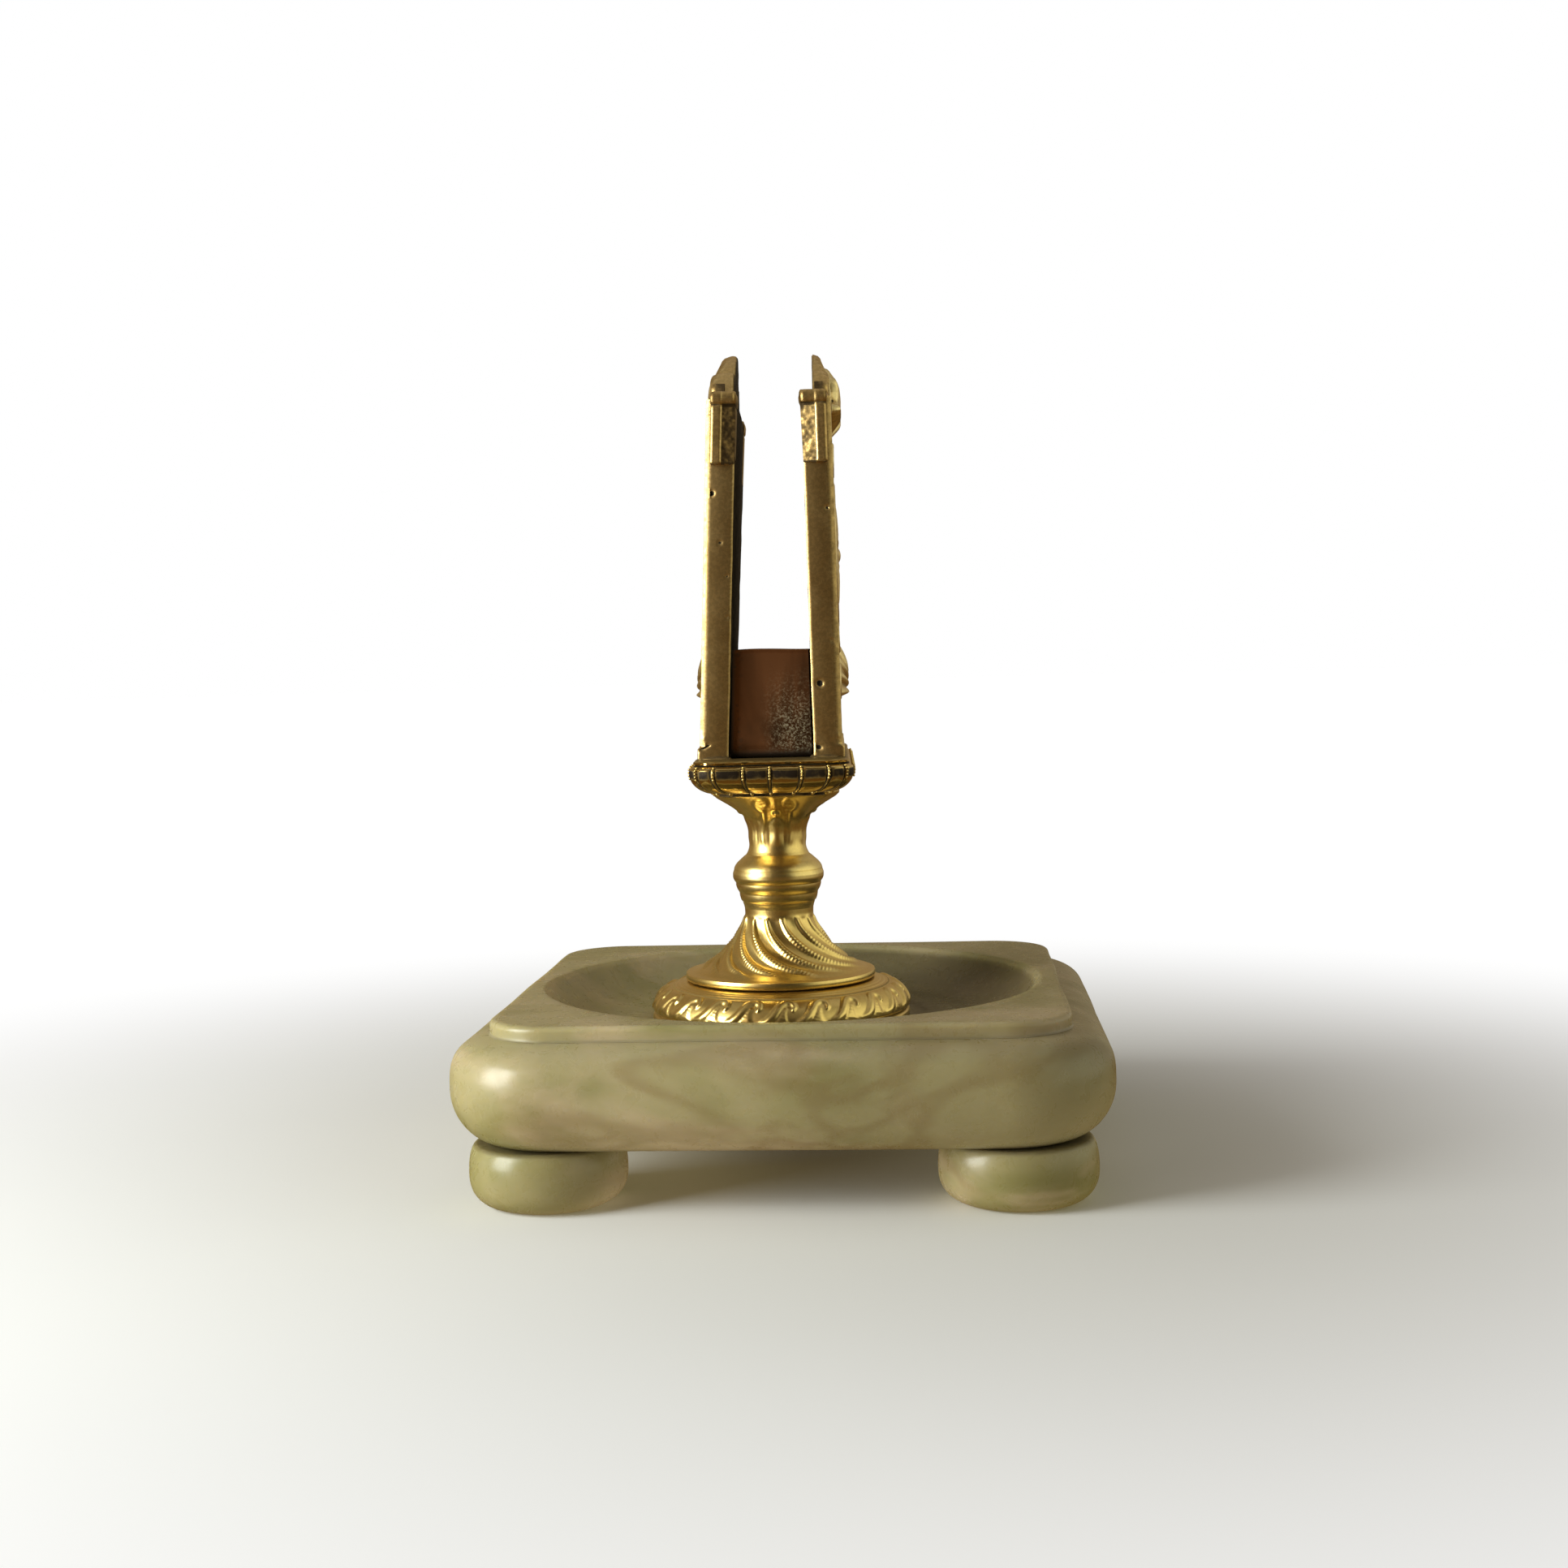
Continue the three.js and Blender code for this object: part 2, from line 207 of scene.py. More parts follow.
def distance_to_line(y: Points, z: Points, line: Points) -> tuple[Points, Points]:
    """Distance from points to a line of straight pieces.

    Args:
        y: First coordinates.
        z: Second coordinates.
        line: The line's corners, two numbers each.

    Returns:
        The distances, and how far along the line the nearest point is, from 0 to 1.
    """
    best = np.full(np.shape(y), 1e9)
    along = np.zeros(np.shape(y))
    lengths = np.hypot(*np.diff(line, axis=0).T)
    done, total = 0.0, max(lengths.sum(), 1e-9)
    for (ay, az), (by, bz), length in zip(line[:-1], line[1:], lengths):
        dy, dz = by - ay, bz - az
        t = np.clip(((y - ay) * dy + (z - az) * dz) / max(length**2, 1e-12), 0, 1)
        d = np.hypot(y - ay - t * dy, z - az - t * dz)
        nearer = d < best
        best = np.where(nearer, d, best)
        along = np.where(nearer, (done + t * length) / total, along)
        done += length
    return best, along


def inside_of(y: Points, z: Points, outline: Points) -> Points:
    """Signed distance to a closed outline, above 0 inside it.

    Args:
        y: First coordinates.
        z: Second coordinates.
        outline: The outline's corners, two numbers each.

    Returns:
        The signed distances.
    """
    closed = np.vstack([outline, outline[:1]])
    distance, _ = distance_to_line(y, z, closed)
    inside = np.zeros(np.shape(y), bool)
    for (ay, az), (by, bz) in zip(closed[:-1], closed[1:]):
        crosses = (az > z) != (bz > z)
        run = (by - ay) * (z - az) / (bz - az if bz != az else 1e-12) + ay
        inside ^= crosses & (y < run)
    return np.where(inside, distance, -distance)


def scroll(
    centre: tuple[float, float], start: float, end: float, first: float, last: float, steps: int = 40
) -> Points:
    """A spiral line.

    Args:
        centre: Its eye.
        start: Radius at its outer end.
        end: Radius at its inner end.
        first: Angle of the outer end, in degrees.
        last: Angle of the inner end, in degrees.
        steps: Number of straight pieces.

    Returns:
        The line's points.
    """
    t = np.linspace(0, 1, steps + 1)
    radius = start * (end / start) ** t
    angle = np.radians(first + (last - first) * t)
    return np.stack([centre[0] + radius * np.cos(angle), centre[1] + radius * np.sin(angle)], 1)


# ---------------------------------------------------------------- meshes


@dataclass
class Shell:
    """Points and faces of one piece while it is put together, in millimetres."""

    points: list[Points] = field(default_factory=list)
    faces: list[list[int]] = field(default_factory=list)
    relief: list[Points] = field(default_factory=list)
    grime: list[Points] = field(default_factory=list)
    count: int = 0

    def add(self, points: Points, faces: list[list[int]], relief: Points | float = 0.0,
        grime: Points | float = 0.0) -> None:
        """Adds points and the faces between them.

        Args:
            points: One row of three numbers for each point.
            faces: Corners of each face, counted from these points' first.
            relief: How far points stand out or lie in, from -1 to 1; some pieces also set it low as painted
                shade.
            grime: How dirty points are, from 0 to 1; on some pieces it also holds painted shadow.
        """
        self.faces += (np.array(faces) + self.count).tolist() if faces else []
        self.points.append(points)
        self.relief.append(np.broadcast_to(np.asarray(relief, float), len(points)))
        self.grime.append(np.broadcast_to(np.asarray(grime, float), len(points)))
        self.count += len(points)

    def grid(
        self,
        rows: Points,
        relief: Points | float = 0.0,
        grime: Points | float = 0.0,
        round_columns: bool = False,
        round_rows: bool = False,
    ) -> None:
        """Adds a sheet of four-sided faces.

        Args:
            rows: Points in rows and columns.
            relief: How far points stand out or lie in, from -1 to 1; some pieces also set it low as painted
                shade.
            grime: How dirty points are, from 0 to 1; on some pieces it also holds painted shadow.
            round_columns: Whether the last column meets the first.
            round_rows: Whether the last row meets the first.
        """
        high, wide = rows.shape[:2]
        index = np.arange(high * wide).reshape(high, wide)
        if round_columns:
            index = np.hstack([index, index[:, :1]])
        if round_rows:
            index = np.vstack([index, index[:1]])
        corners = (index[:-1, :-1], index[:-1, 1:], index[1:, 1:], index[1:, :-1])
        faces = np.stack([c.ravel() for c in corners], 1).tolist()
        each = [np.broadcast_to(np.asarray(a, float), (high, wide)).ravel() for a in (relief, grime)]
        self.add(rows.reshape(-1, 3), faces, *each)

    def cap(self, ring: Points, relief: float = 0.0, grime: float = 0.0) -> None:
        """Closes a ring of points with a fan about its middle.

        Args:
            ring: The ring's points.
            relief: How far points stand out or lie in, from -1 to 1.
            grime: How dirty points are, from 0 to 1.
        """
        count = len(ring)
        fan = [[i, (i + 1) % count, count] for i in range(count)]
        self.add(np.vstack([ring, ring.mean(0, keepdims=True)]), fan, relief, grime)

    def mesh(self, name: str) -> bpy.types.Mesh:
        """The shell as a Blender mesh, in metres, with its relief and grime as attributes.

        Args:
            name: The mesh's name.

        Returns:
            The mesh.
        """
        made = bpy.data.meshes.new(name)
        made.from_pydata((np.vstack(self.points) * MM).tolist(), [], self.faces)
        for label, values in (("relief", self.relief), ("grime", self.grime)):
            attribute = made.attributes.new(label, "FLOAT", "POINT")
            attribute.data.foreach_set("value", np.concatenate(values).astype(np.float32))
        return made


def finished(mesh: bpy.types.Mesh, sharp: float = 38.0, merge: float = 0.004) -> bpy.types.Mesh:
    """Closes a mesh's seams, turns its faces outwards and smooths its shading.

    Args:
        mesh: The mesh, changed in place.
        sharp: Edges that turn by more degrees than this stay crisp.
        merge: Points nearer to each other than this, in millimetres, become one.

    Returns:
        The same mesh.
    """
    work = bmesh.new()
    work.from_mesh(mesh)
    bmesh.ops.remove_doubles(work, verts=work.verts, dist=merge * MM)
    bmesh.ops.dissolve_degenerate(work, edges=work.edges, dist=1e-7)
    bmesh.ops.recalc_face_normals(work, faces=work.faces)
    work.to_mesh(mesh)
    work.free()
    mesh.polygons.foreach_set("use_smooth", [True] * len(mesh.polygons))
    mesh.set_sharp_from_angle(angle=math.radians(sharp))
    mesh.update()
    return mesh


def piece(
    name: str, mesh: bpy.types.Mesh, body: Body, slot: Slot, material: bpy.types.Material, *replaced: str
) -> bpy.types.Object:
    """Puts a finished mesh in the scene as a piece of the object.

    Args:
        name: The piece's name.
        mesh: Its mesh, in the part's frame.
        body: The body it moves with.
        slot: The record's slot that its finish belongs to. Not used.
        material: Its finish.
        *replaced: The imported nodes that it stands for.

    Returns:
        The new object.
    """
    mesh.materials.clear()
    mesh.materials.append(material)
    made = bpy.data.objects.new(name, mesh)
    bpy.context.scene.collection.objects.link(made)
    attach(made, body.value)
    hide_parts(*replaced)
    log.info("%s: %d faces, rides on %s", name, len(mesh.polygons), body.value)
    return made


# ---------------------------------------------------------------- geometry nodes


def feed(tree: bpy.types.NodeTree, socket: bpy.types.NodeSocket, value: object) -> None:
    """Links a socket to another, or sets a plain value on it."""
    if isinstance(value, bpy.types.NodeSocket):
        tree.links.new(value, socket)
    else:
        colour = isinstance(value, tuple) and socket.type == "RGBA"
        socket.default_value = (*value, 1.0) if colour else value


@dataclass
class Tree:
    """A geometry node tree while it is built."""

    name: str

    def __post_init__(self) -> None:
        """Makes the tree with its geometry input and output."""
        self.tree = bpy.data.node_groups.new(self.name, "GeometryNodeTree")
        self.tree.interface.new_socket("Geometry", in_out="INPUT", socket_type="NodeSocketGeometry")
        self.tree.interface.new_socket("Geometry", in_out="OUTPUT", socket_type="NodeSocketGeometry")
        self.inside = self.tree.nodes.new("NodeGroupInput")
        self.outside = self.tree.nodes.new("NodeGroupOutput")

    def size(self, name: str, kind: str = "Float") -> None:
        """Adds a named input."""
        self.tree.interface.new_socket(name, in_out="INPUT", socket_type=f"NodeSocket{kind}")

    def node(self, kind: str, inputs: dict[str, object] | None = None,
        **settings: object) -> bpy.types.Node:
        """Adds a node.

        Args:
            kind: Its type, without the prefix for geometry nodes.
            inputs: Values or sockets for its inputs.
            **settings: Its own settings.

        Returns:
            The node.
        """
        prefix = "" if kind.startswith(("Shader", "Function")) else "GeometryNode"
        made = self.tree.nodes.new(prefix + kind)
        for key, value in settings.items():
            setattr(made, key, value)
        for key, value in (inputs or {}).items():
            feed(self.tree, made.inputs[key], value)
        return made

    def math(self, operation: str, *values: object) -> bpy.types.NodeSocket:
        """Adds a sum and returns its result.

        Args:
            operation: The node's operation.
            *values: Numbers or sockets for its inputs, in their order.

        Returns:
            The node's result.
        """
        made = self.node("ShaderNodeMath", operation=operation)
        for socket, value in zip(made.inputs, values):
            feed(self.tree, socket, value)
        return made.outputs[0]

    def finish(self, geometry: bpy.types.NodeSocket, smooth: bool = True) -> bpy.types.NodeTree:
        """Ends the tree in real geometry that wears its material.

        Args:
            geometry: What the tree made.
            smooth: Whether its faces are shaded smooth.

        Returns:
            The tree.
        """
        real = self.node("SetShadeSmooth", {"Geometry": geometry, "Shade Smooth": smooth})
        worn = self.node(
            "SetMaterial", {"Geometry": real.outputs[0], "Material": self.inside.outputs["Material"]}
        )
        self.tree.links.new(worn.outputs[0], self.outside.inputs[0])
        return self.tree


def repeated_round_axis() -> bpy.types.NodeTree:
    """A tree that sets copies of one cell round an upright axis and joins them into one skin.

    Returns:
        The tree.
    """
    t = Tree("cell_repeated_round_axis")
    t.size("Count", "Int")
    t.size("Axis X")
    t.size("Turn")
    t.size("Seam")
    t.size("Material", "Material")
    places = t.node("Points", {"Count": t.inside.outputs["Count"]})
    index = t.node("InputIndex").outputs[0]
    step = t.math("DIVIDE", FULL_TURN, t.inside.outputs["Count"])
    angle = t.math("ADD", t.math("MULTIPLY", index, step), t.inside.outputs["Turn"])
    turn = t.node("ShaderNodeCombineXYZ", {"Z": angle}).outputs[0]
    copies = t.node(
        "InstanceOnPoints",
        {"Points": places.outputs[0], "Instance": t.inside.outputs[0], "Rotation": turn},
    )
    real = t.node("RealizeInstances", {"Geometry": copies.outputs[0]})
    skin = t.node("MergeByDistance", {"Geometry": real.outputs[0], "Distance": t.inside.outputs["Seam"]})
    move = t.node("ShaderNodeCombineXYZ", {"X": t.inside.outputs["Axis X"]}).outputs[0]
    placed = t.node("Transform", {"Geometry": skin.outputs[0], "Translation": move})
    return t.finish(placed.outputs[0])


def beads_along_lines() -> bpy.types.NodeTree:
    """A tree that sets small beads along lines, each as wide as its line's size there.

    Returns:
        The tree.
    """
    t = Tree("beads_along_lines")
    t.size("Bead radius")
    t.size("Spacing")
    t.size("Material", "Material")
    line = t.node("MeshToCurve", {"Mesh": t.inside.outputs[0]})
    spacing = t.inside.outputs["Spacing"]
    spaced = t.node("ResampleCurve", {"Curve": line.outputs[0], "Length": spacing}, mode="LENGTH")
    bead = t.node("MeshUVSphere", {"Segments": 8, "Rings": 5, "Radius": t.inside.outputs["Bead radius"]})
    size = t.node("InputNamedAttribute", {"Name": "size"}, data_type="FLOAT").outputs[0]
    copies = t.node(
        "InstanceOnPoints", {"Points": spaced.outputs[0], "Instance": bead.outputs[0], "Scale": size}
    )
    real = t.node("RealizeInstances", {"Geometry": copies.outputs[0]})
    return t.finish(real.outputs[0])


def grown(
    tree: bpy.types.NodeTree, mesh: bpy.types.Mesh, name: str, material: bpy.types.Material, **inputs: float
) -> bpy.types.Mesh:
    """Runs a tree on a mesh and keeps the result as a plain mesh.

    Args:
        tree: The tree.
        mesh: What it starts from.
        name: The new mesh's name.
        material: The finish that the tree sets.
        **inputs: Values for its named inputs, with _ for a space.

    Returns:
        The new mesh.
    """
    carrier = bpy.data.objects.new(name + "_seed", mesh)
    bpy.context.scene.collection.objects.link(carrier)
    modifier = carrier.modifiers.new("grow", "NODES")
    modifier.node_group = tree
    values = {key.replace("_", " ").lower(): value for key,
        value in inputs.items()} | {"material": material}
    for item in tree.interface.items_tree:
        if item.item_type == "SOCKET" and item.in_out == "INPUT" and item.name.lower() in values:
            modifier[item.identifier] = values[item.name.lower()]
    bpy.context.view_layer.update()
    seen = carrier.evaluated_get(bpy.context.evaluated_depsgraph_get())
    made = bpy.data.meshes.new_from_object(seen)
    made.name = name
    carrier.modifiers.clear()
    bpy.data.objects.remove(carrier)
    bpy.data.meshes.remove(mesh)
    return made


# ---------------------------------------------------------------- shader groups and finishes


@dataclass
class Shader:
    """Nodes of a material or a shader group while they are built."""

    tree: bpy.types.NodeTree

    def node(self, kind: str, inputs: dict[str | int, object] | None = None,
        **settings: object) -> bpy.types.Node:
        """Adds a node.

        Args:
            kind: Its type without the word ShaderNode.
            inputs: Values or sockets for its inputs.
            **settings: Its own settings.

        Returns:
            The node.
        """
        made = self.tree.nodes.new("ShaderNode" + kind)
        for key, value in settings.items():
            setattr(made, key, value)
        for key, value in (inputs or {}).items():
            feed(self.tree, made.inputs[key], value)
        return made

    def math(self, operation: str, a: object, b: object = 0.0, clamp: bool = False) -> bpy.types.NodeSocket:
        """Adds a sum of two values and returns its result."""
        return self.node("Math", {0: a, 1: b}, operation=operation, use_clamp=clamp).outputs[0]

    def span(self, value: object, low: float, high: float, to_low: float = 0.0,
        to_high: float = 1.0) -> bpy.types.NodeSocket:
        """Maps a range to another, softly, and returns the result."""
        made = self.node(
            "MapRange",
            {"Value": value, "From Min": low, "From Max": high, "To Min": to_low, "To Max": to_high},
            interpolation_type="SMOOTHSTEP",
        )
        return made.outputs[0]

    def mix(self, factor: object, a: object, b: object, blend: str = "MIX") -> bpy.types.NodeSocket:
        """Mixes two colours and returns the result.

        Args:
            factor: How much of the second shows.
            a: The first colour.
            b: The second colour.
            blend: How they mix.

        Returns:
            The mixed colour.
        """
        made = self.node("Mix", data_type="RGBA", blend_type=blend, clamp_factor=True)
        for index, value in ((0, factor), (6, a), (7, b)):
            feed(self.tree, made.inputs[index], value)
        return made.outputs[2]

    def attribute(self, name: str) -> bpy.types.NodeSocket:
        """A number that the mesh carries."""
        return self.node("Attribute", attribute_name=name).outputs["Fac"]

    def place(self, shift: Colour = (0, 0, 0), turn: Colour = (0, 0, 0),
        stretch: Colour = (1, 1, 1)) -> bpy.types.NodeSocket:
        """Object coordinates, shifted, turned and stretched."""
        at = self.node("TexCoord").outputs["Object"]
        return self.node("Mapping", {"Vector": at, "Location": shift, "Rotation": turn,
            "Scale": stretch}).outputs[0]

    def noise(self, at: object, scale: object, detail: float = 3.0, twist: float = 0.0,
        rough: float = 0.5) -> bpy.types.NodeSocket:
        """Cloudy noise from 0 to 1."""
        inputs = {"Vector": at, "Scale": scale, "Detail": detail, "Distortion": twist, "Roughness": rough}
        return self.node("TexNoise", inputs).outputs[0]

    def group(self, tree: bpy.types.NodeTree, **inputs: object) -> bpy.types.Node:
        """Places a shader group, with _ for a space in its inputs' names.

        Args:
            tree: The group.
            **inputs: Values or sockets for its named inputs, with _ for a space.

        Returns:
            The group's node.
        """
        made = self.tree.nodes.new("ShaderNodeGroup")
        made.node_tree = tree
        for key, value in inputs.items():
            feed(self.tree, made.inputs[key.replace("_", " ").capitalize()], value)
        return made


def shader_group(name: str, inputs: Sequence[tuple[str, str]],
    outputs: Sequence[tuple[str, str]]) -> tuple[Shader, bpy.types.Node, bpy.types.Node]:
    """Starts a shader group.

    Args:
        name: Its name.
        inputs: Name and type of each input.
        outputs: Name and type of each output.

    Returns:
        The shader, its input node and its output node.
    """
    tree = bpy.data.node_groups.new(name, "ShaderNodeTree")
    for direction, sockets in (("INPUT", inputs), ("OUTPUT", outputs)):
        for label, kind in sockets:
            tree.interface.new_socket(label, in_out=direction, socket_type=f"NodeSocket{kind}")
    return Shader(tree), tree.nodes.new("NodeGroupInput"), tree.nodes.new("NodeGroupOutput")


def cast_skin_group() -> bpy.types.NodeTree:
    """The skin of a sand casting: fine grain, soft lumps and a few pits.

    Inputs are Grain, Lumps and Pits, how much of each shows. Outputs are Height, for a bump, and
    Speckle, bright and dark spots from 0 to 1.

    Returns:
        The group.
    """
    s, given, put = shader_group(
        "cast_skin",
        [("Grain", "Float"), ("Lumps", "Float"), ("Pits", "Float")],
        [("Height", "Float"), ("Speckle", "Float")],
    )
    at = s.place()
    grain = s.noise(at, 2600.0, 3.0, 0.4, 0.6)
    lumps = s.noise(at, 420.0, 2.0, 0.8)
    near = s.node("TexVoronoi", {"Vector": at, "Scale": 330.0, "Randomness": 1.0}).outputs["Distance"]
    some = s.span(s.noise(at, 160.0, 1.0), 0.60, 0.66)
    pit = s.math("MULTIPLY", s.span(near, 0.20, 0.06), some)
    height = s.math("MULTIPLY", grain, given.outputs["Grain"])
    height = s.math("ADD", height, s.math("MULTIPLY", lumps, given.outputs["Lumps"]))
    height = s.math("SUBTRACT", height, s.math("MULTIPLY", pit, given.outputs["Pits"]))
    s.tree.links.new(height, put.inputs["Height"])
    s.tree.links.new(s.span(s.noise(at, 1500.0, 2.0, 0.0, 0.7), 0.35, 0.68), put.inputs["Speckle"])
    return s.tree


def tarnish_group() -> bpy.types.NodeTree:
    """Old metal's colour: rubbed crests, a mottled middle and dark hollows, and dark too where a piece sets
    its relief low as painted shade and painted reflection.

    Inputs are the colours Bright, Middle and Dark, and Age, how far the dark spreads. Outputs are
    Colour, Roughness and Hollow, a mask of the dark places.

    Returns:
        The group.
    """
    s, given, put = shader_group(
        "old_metal",
        [("Bright", "Color"), ("Middle", "Color"), ("Dark", "Color"), ("Age", "Float"), ("Satin", "Float")],
        [("Colour", "Color"), ("Roughness", "Float"), ("Hollow", "Float")],
    )
    at = s.place()
    relief = s.attribute("relief")
    cloud = s.noise(at, 95.0, 4.0, 1.2, 0.6)
    spots = s.noise(at, 520.0, 3.0, 0.5, 0.65)
    worn = s.span(s.math("ADD", relief, s.math("MULTIPLY", s.math("SUBTRACT", cloud, 0.5), 0.8)), -0.1, 0.6)
    deep = s.math("ADD", s.math("MULTIPLY", relief, -1.0),
        s.math("MULTIPLY", s.math("SUBTRACT", spots, 0.5), 0.7))
    hollow = s.math("MULTIPLY", s.span(deep, 0.05, 0.75), given.outputs["Age"], clamp=True)
    hollow = s.math("MAXIMUM", hollow,
        s.math("MULTIPLY", s.attribute("grime"), s.span(spots, 0.15, 0.5, 0.6, 1.0)))
    base = s.mix(worn, given.outputs["Middle"], given.outputs["Bright"])
    base = s.mix(s.span(cloud, 0.35, 0.75, 0.0, 0.35), base, given.outputs["Middle"])
    colour = s.mix(hollow, base, given.outputs["Dark"])
    rough = s.math("ADD", given.outputs["Satin"], s.math("MULTIPLY", s.math("SUBTRACT", cloud, 0.5), 0.10))
    rough = s.math("ADD", rough, s.math("MULTIPLY", hollow, 0.45), clamp=True)
    for label, socket in (("Colour", colour), ("Roughness", rough), ("Hollow", hollow)):
        s.tree.links.new(socket, put.inputs[label])
    return s.tree


def new_material(name: str) -> tuple[bpy.types.Material, Shader, bpy.types.Node]:
    """An empty material, its nodes and its Principled shader.

    Args:
        name: The material's name.

    Returns:
        The material, its nodes and its shader.
    """
    material = bpy.data.materials.new(name)
    material.use_nodes = True
    shader = Shader(material.node_tree)
    return material, shader, material.node_tree.nodes["Principled BSDF"]


@dataclass(frozen=True)
class OldMetal:
    """A cast or turned metal with age in its hollows."""

    name: str
    bright: Colour
    middle: Colour
    dark: Colour
    age: float = 1.0
    satin: float = 0.25
    grain: float = 0.3
    lumps: float = 0.5
    pits: float = 0.0
    bump: float = 0.25
    depth: float = 0.00012
    speckle: float = 0.15

    def build(self, tarnish: bpy.types.NodeTree, skin: bpy.types.NodeTree) -> bpy.types.Material:
        """Makes the material from the two shared groups.

        Args:
            tarnish: The group for old metal's colour.
            skin: The group for the skin of a casting.

        Returns:
            The material.
        """
        material, s, shader = new_material(self.name)
        old = s.group(
            tarnish, bright=self.bright, middle=self.middle, dark=self.dark, age=self.age, satin=self.satin
        )
        cast = s.group(skin, grain=self.grain, lumps=self.lumps, pits=self.pits)
        speckle = s.span(cast.outputs["Speckle"], 0.0, 1.0, 1 - self.speckle, 1 + self.speckle)
        grey = s.node("CombineColor", {0: speckle, 1: speckle, 2: speckle}).outputs[0]
        colour = s.mix(1.0, old.outputs["Colour"], grey, "MULTIPLY")
        bump = s.node(
            "Bump", {"Strength": self.bump, "Distance": self.depth, "Height": cast.outputs["Height"]}
        )
        metal = s.span(old.outputs["Hollow"], 0.0, 1.0, 1.0, 0.6)
        for label, socket in (
            ("Base Color", colour),
            ("Roughness", old.outputs["Roughness"]),
            ("Metallic", metal),
            ("Normal", bump.outputs[0]),
        ):
            s.tree.links.new(socket, shader.inputs[label])
        return material


@dataclass(frozen=True)
class Onyx:
    """Banded green and cream stone, polished and a little translucent."""

    name: str = "green_onyx"
    cream: Colour = (0.56, 0.45, 0.29)
    olive: Colour = (0.27, 0.245, 0.095)
    pale: Colour = (0.42, 0.365, 0.195)
    vein: Colour = (0.24, 0.155, 0.06)
    dirt: Colour = (0.075, 0.045, 0.018)
    # The next two colours are painted shade, which the dish mixes in where its relief is set below 0.
    ash: Colour = (0.060, 0.046, 0.016)
    pale_painted_shade: Colour = (0.11, 0.085, 0.034)

    def build(self) -> bpy.types.Material:
        """Makes the material.

        Returns:
            The material.
        """
        material, s, shader = new_material(self.name)
        turn = (math.radians(12), math.radians(24), math.radians(8))
        at = s.place(shift=(0.013, 0.004, 0.021), turn=turn, stretch=(0.75, 1.0, 1.6))
        cloud = s.noise(at, 24.0, 2.6, 1.0, 0.5)
        drift = s.noise(s.place(shift=(0.31, 0.12, 0.05), turn=turn, stretch=(0.6, 0.9, 1.7)), 34.0, 3.0,
            1.3, 0.5)
        colour = s.mix(s.span(cloud, 0.36, 0.64), self.olive, self.pale)
        colour = s.mix(s.span(drift, 0.48, 0.72, 0.0, 0.8), colour, self.cream)
        fold = s.noise(s.place(shift=(0.07, 0.4, 0.2), turn=turn, stretch=(0.7, 1.0, 1.8)), 20.0, 3.2, 1.6,
            0.5)
        ridge = s.math("ABSOLUTE", s.math("SUBTRACT", fold, 0.5))
        where = s.span(s.noise(at, 17.0, 2.0), 0.45, 0.62)
        veins = s.math("MULTIPLY", s.span(ridge, 0.075, 0.0, 0.0, 0.42), where)
        colour = s.mix(veins, colour, self.vein)
        fine = s.noise(at, 210.0, 4.0, 1.0, 0.6)
        colour = s.mix(s.span(fine, 0.3, 0.7, 0.0, 0.14), colour, self.olive)
        spots = s.node("TexVoronoi", {"Vector": s.place(), "Scale": 75.0}).outputs["Distance"]
        few = s.span(s.noise(s.place(), 55.0, 1.0), 0.62, 0.66)
        colour = s.mix(s.math("MULTIPLY", s.span(spots, 0.12, 0.03, 0.0, 0.8), few), colour, self.vein)
        smear = s.noise(s.place(), 300.0, 4.0, 0.6, 0.7)
        # Painted shade: relief below 0, which only the dish sets on the stone, turns the colour towards the
        # two shade colours.
        painted_shade = s.math("MULTIPLY", s.attribute("relief"), -1.0, clamp=True)
        colour = s.mix(painted_shade, colour, s.mix(s.span(cloud, 0.4, 0.6), self.ash, self.pale_painted_shade))
        dirt = s.math("MULTIPLY", s.attribute("grime"), s.span(smear, 0.2, 0.8, 0.5, 0.8), clamp=True)
        colour = s.mix(dirt, colour, self.dirt)
        rough = s.math("ADD", s.span(smear, 0.3, 0.7, 0.24, 0.36), s.math("MULTIPLY", dirt, 0.35),
            clamp=True)
        scratches = s.noise(s.place(turn=(0.4, 0.2, 0.9), stretch=(1, 14, 3)), 260.0, 3.0, 0.3, 0.6)
        height = s.math("ADD", s.math("MULTIPLY", scratches, 0.4), s.math("MULTIPLY", smear, 0.25))
        bump = s.node("Bump", {"Strength": 0.05, "Distance": 0.0001, "Height": height})
        for label, socket in (("Base Color", colour), ("Roughness", rough), ("Normal", bump.outputs[0])):
            s.tree.links.new(socket, shader.inputs[label])
        shader.inputs["IOR"].default_value = 1.49
        shader.inputs["Subsurface Weight"].default_value = 0.45
        shader.inputs["Subsurface Radius"].default_value = (1.0, 0.8, 0.4)
        shader.inputs["Subsurface Scale"].default_value = 0.006
        return material


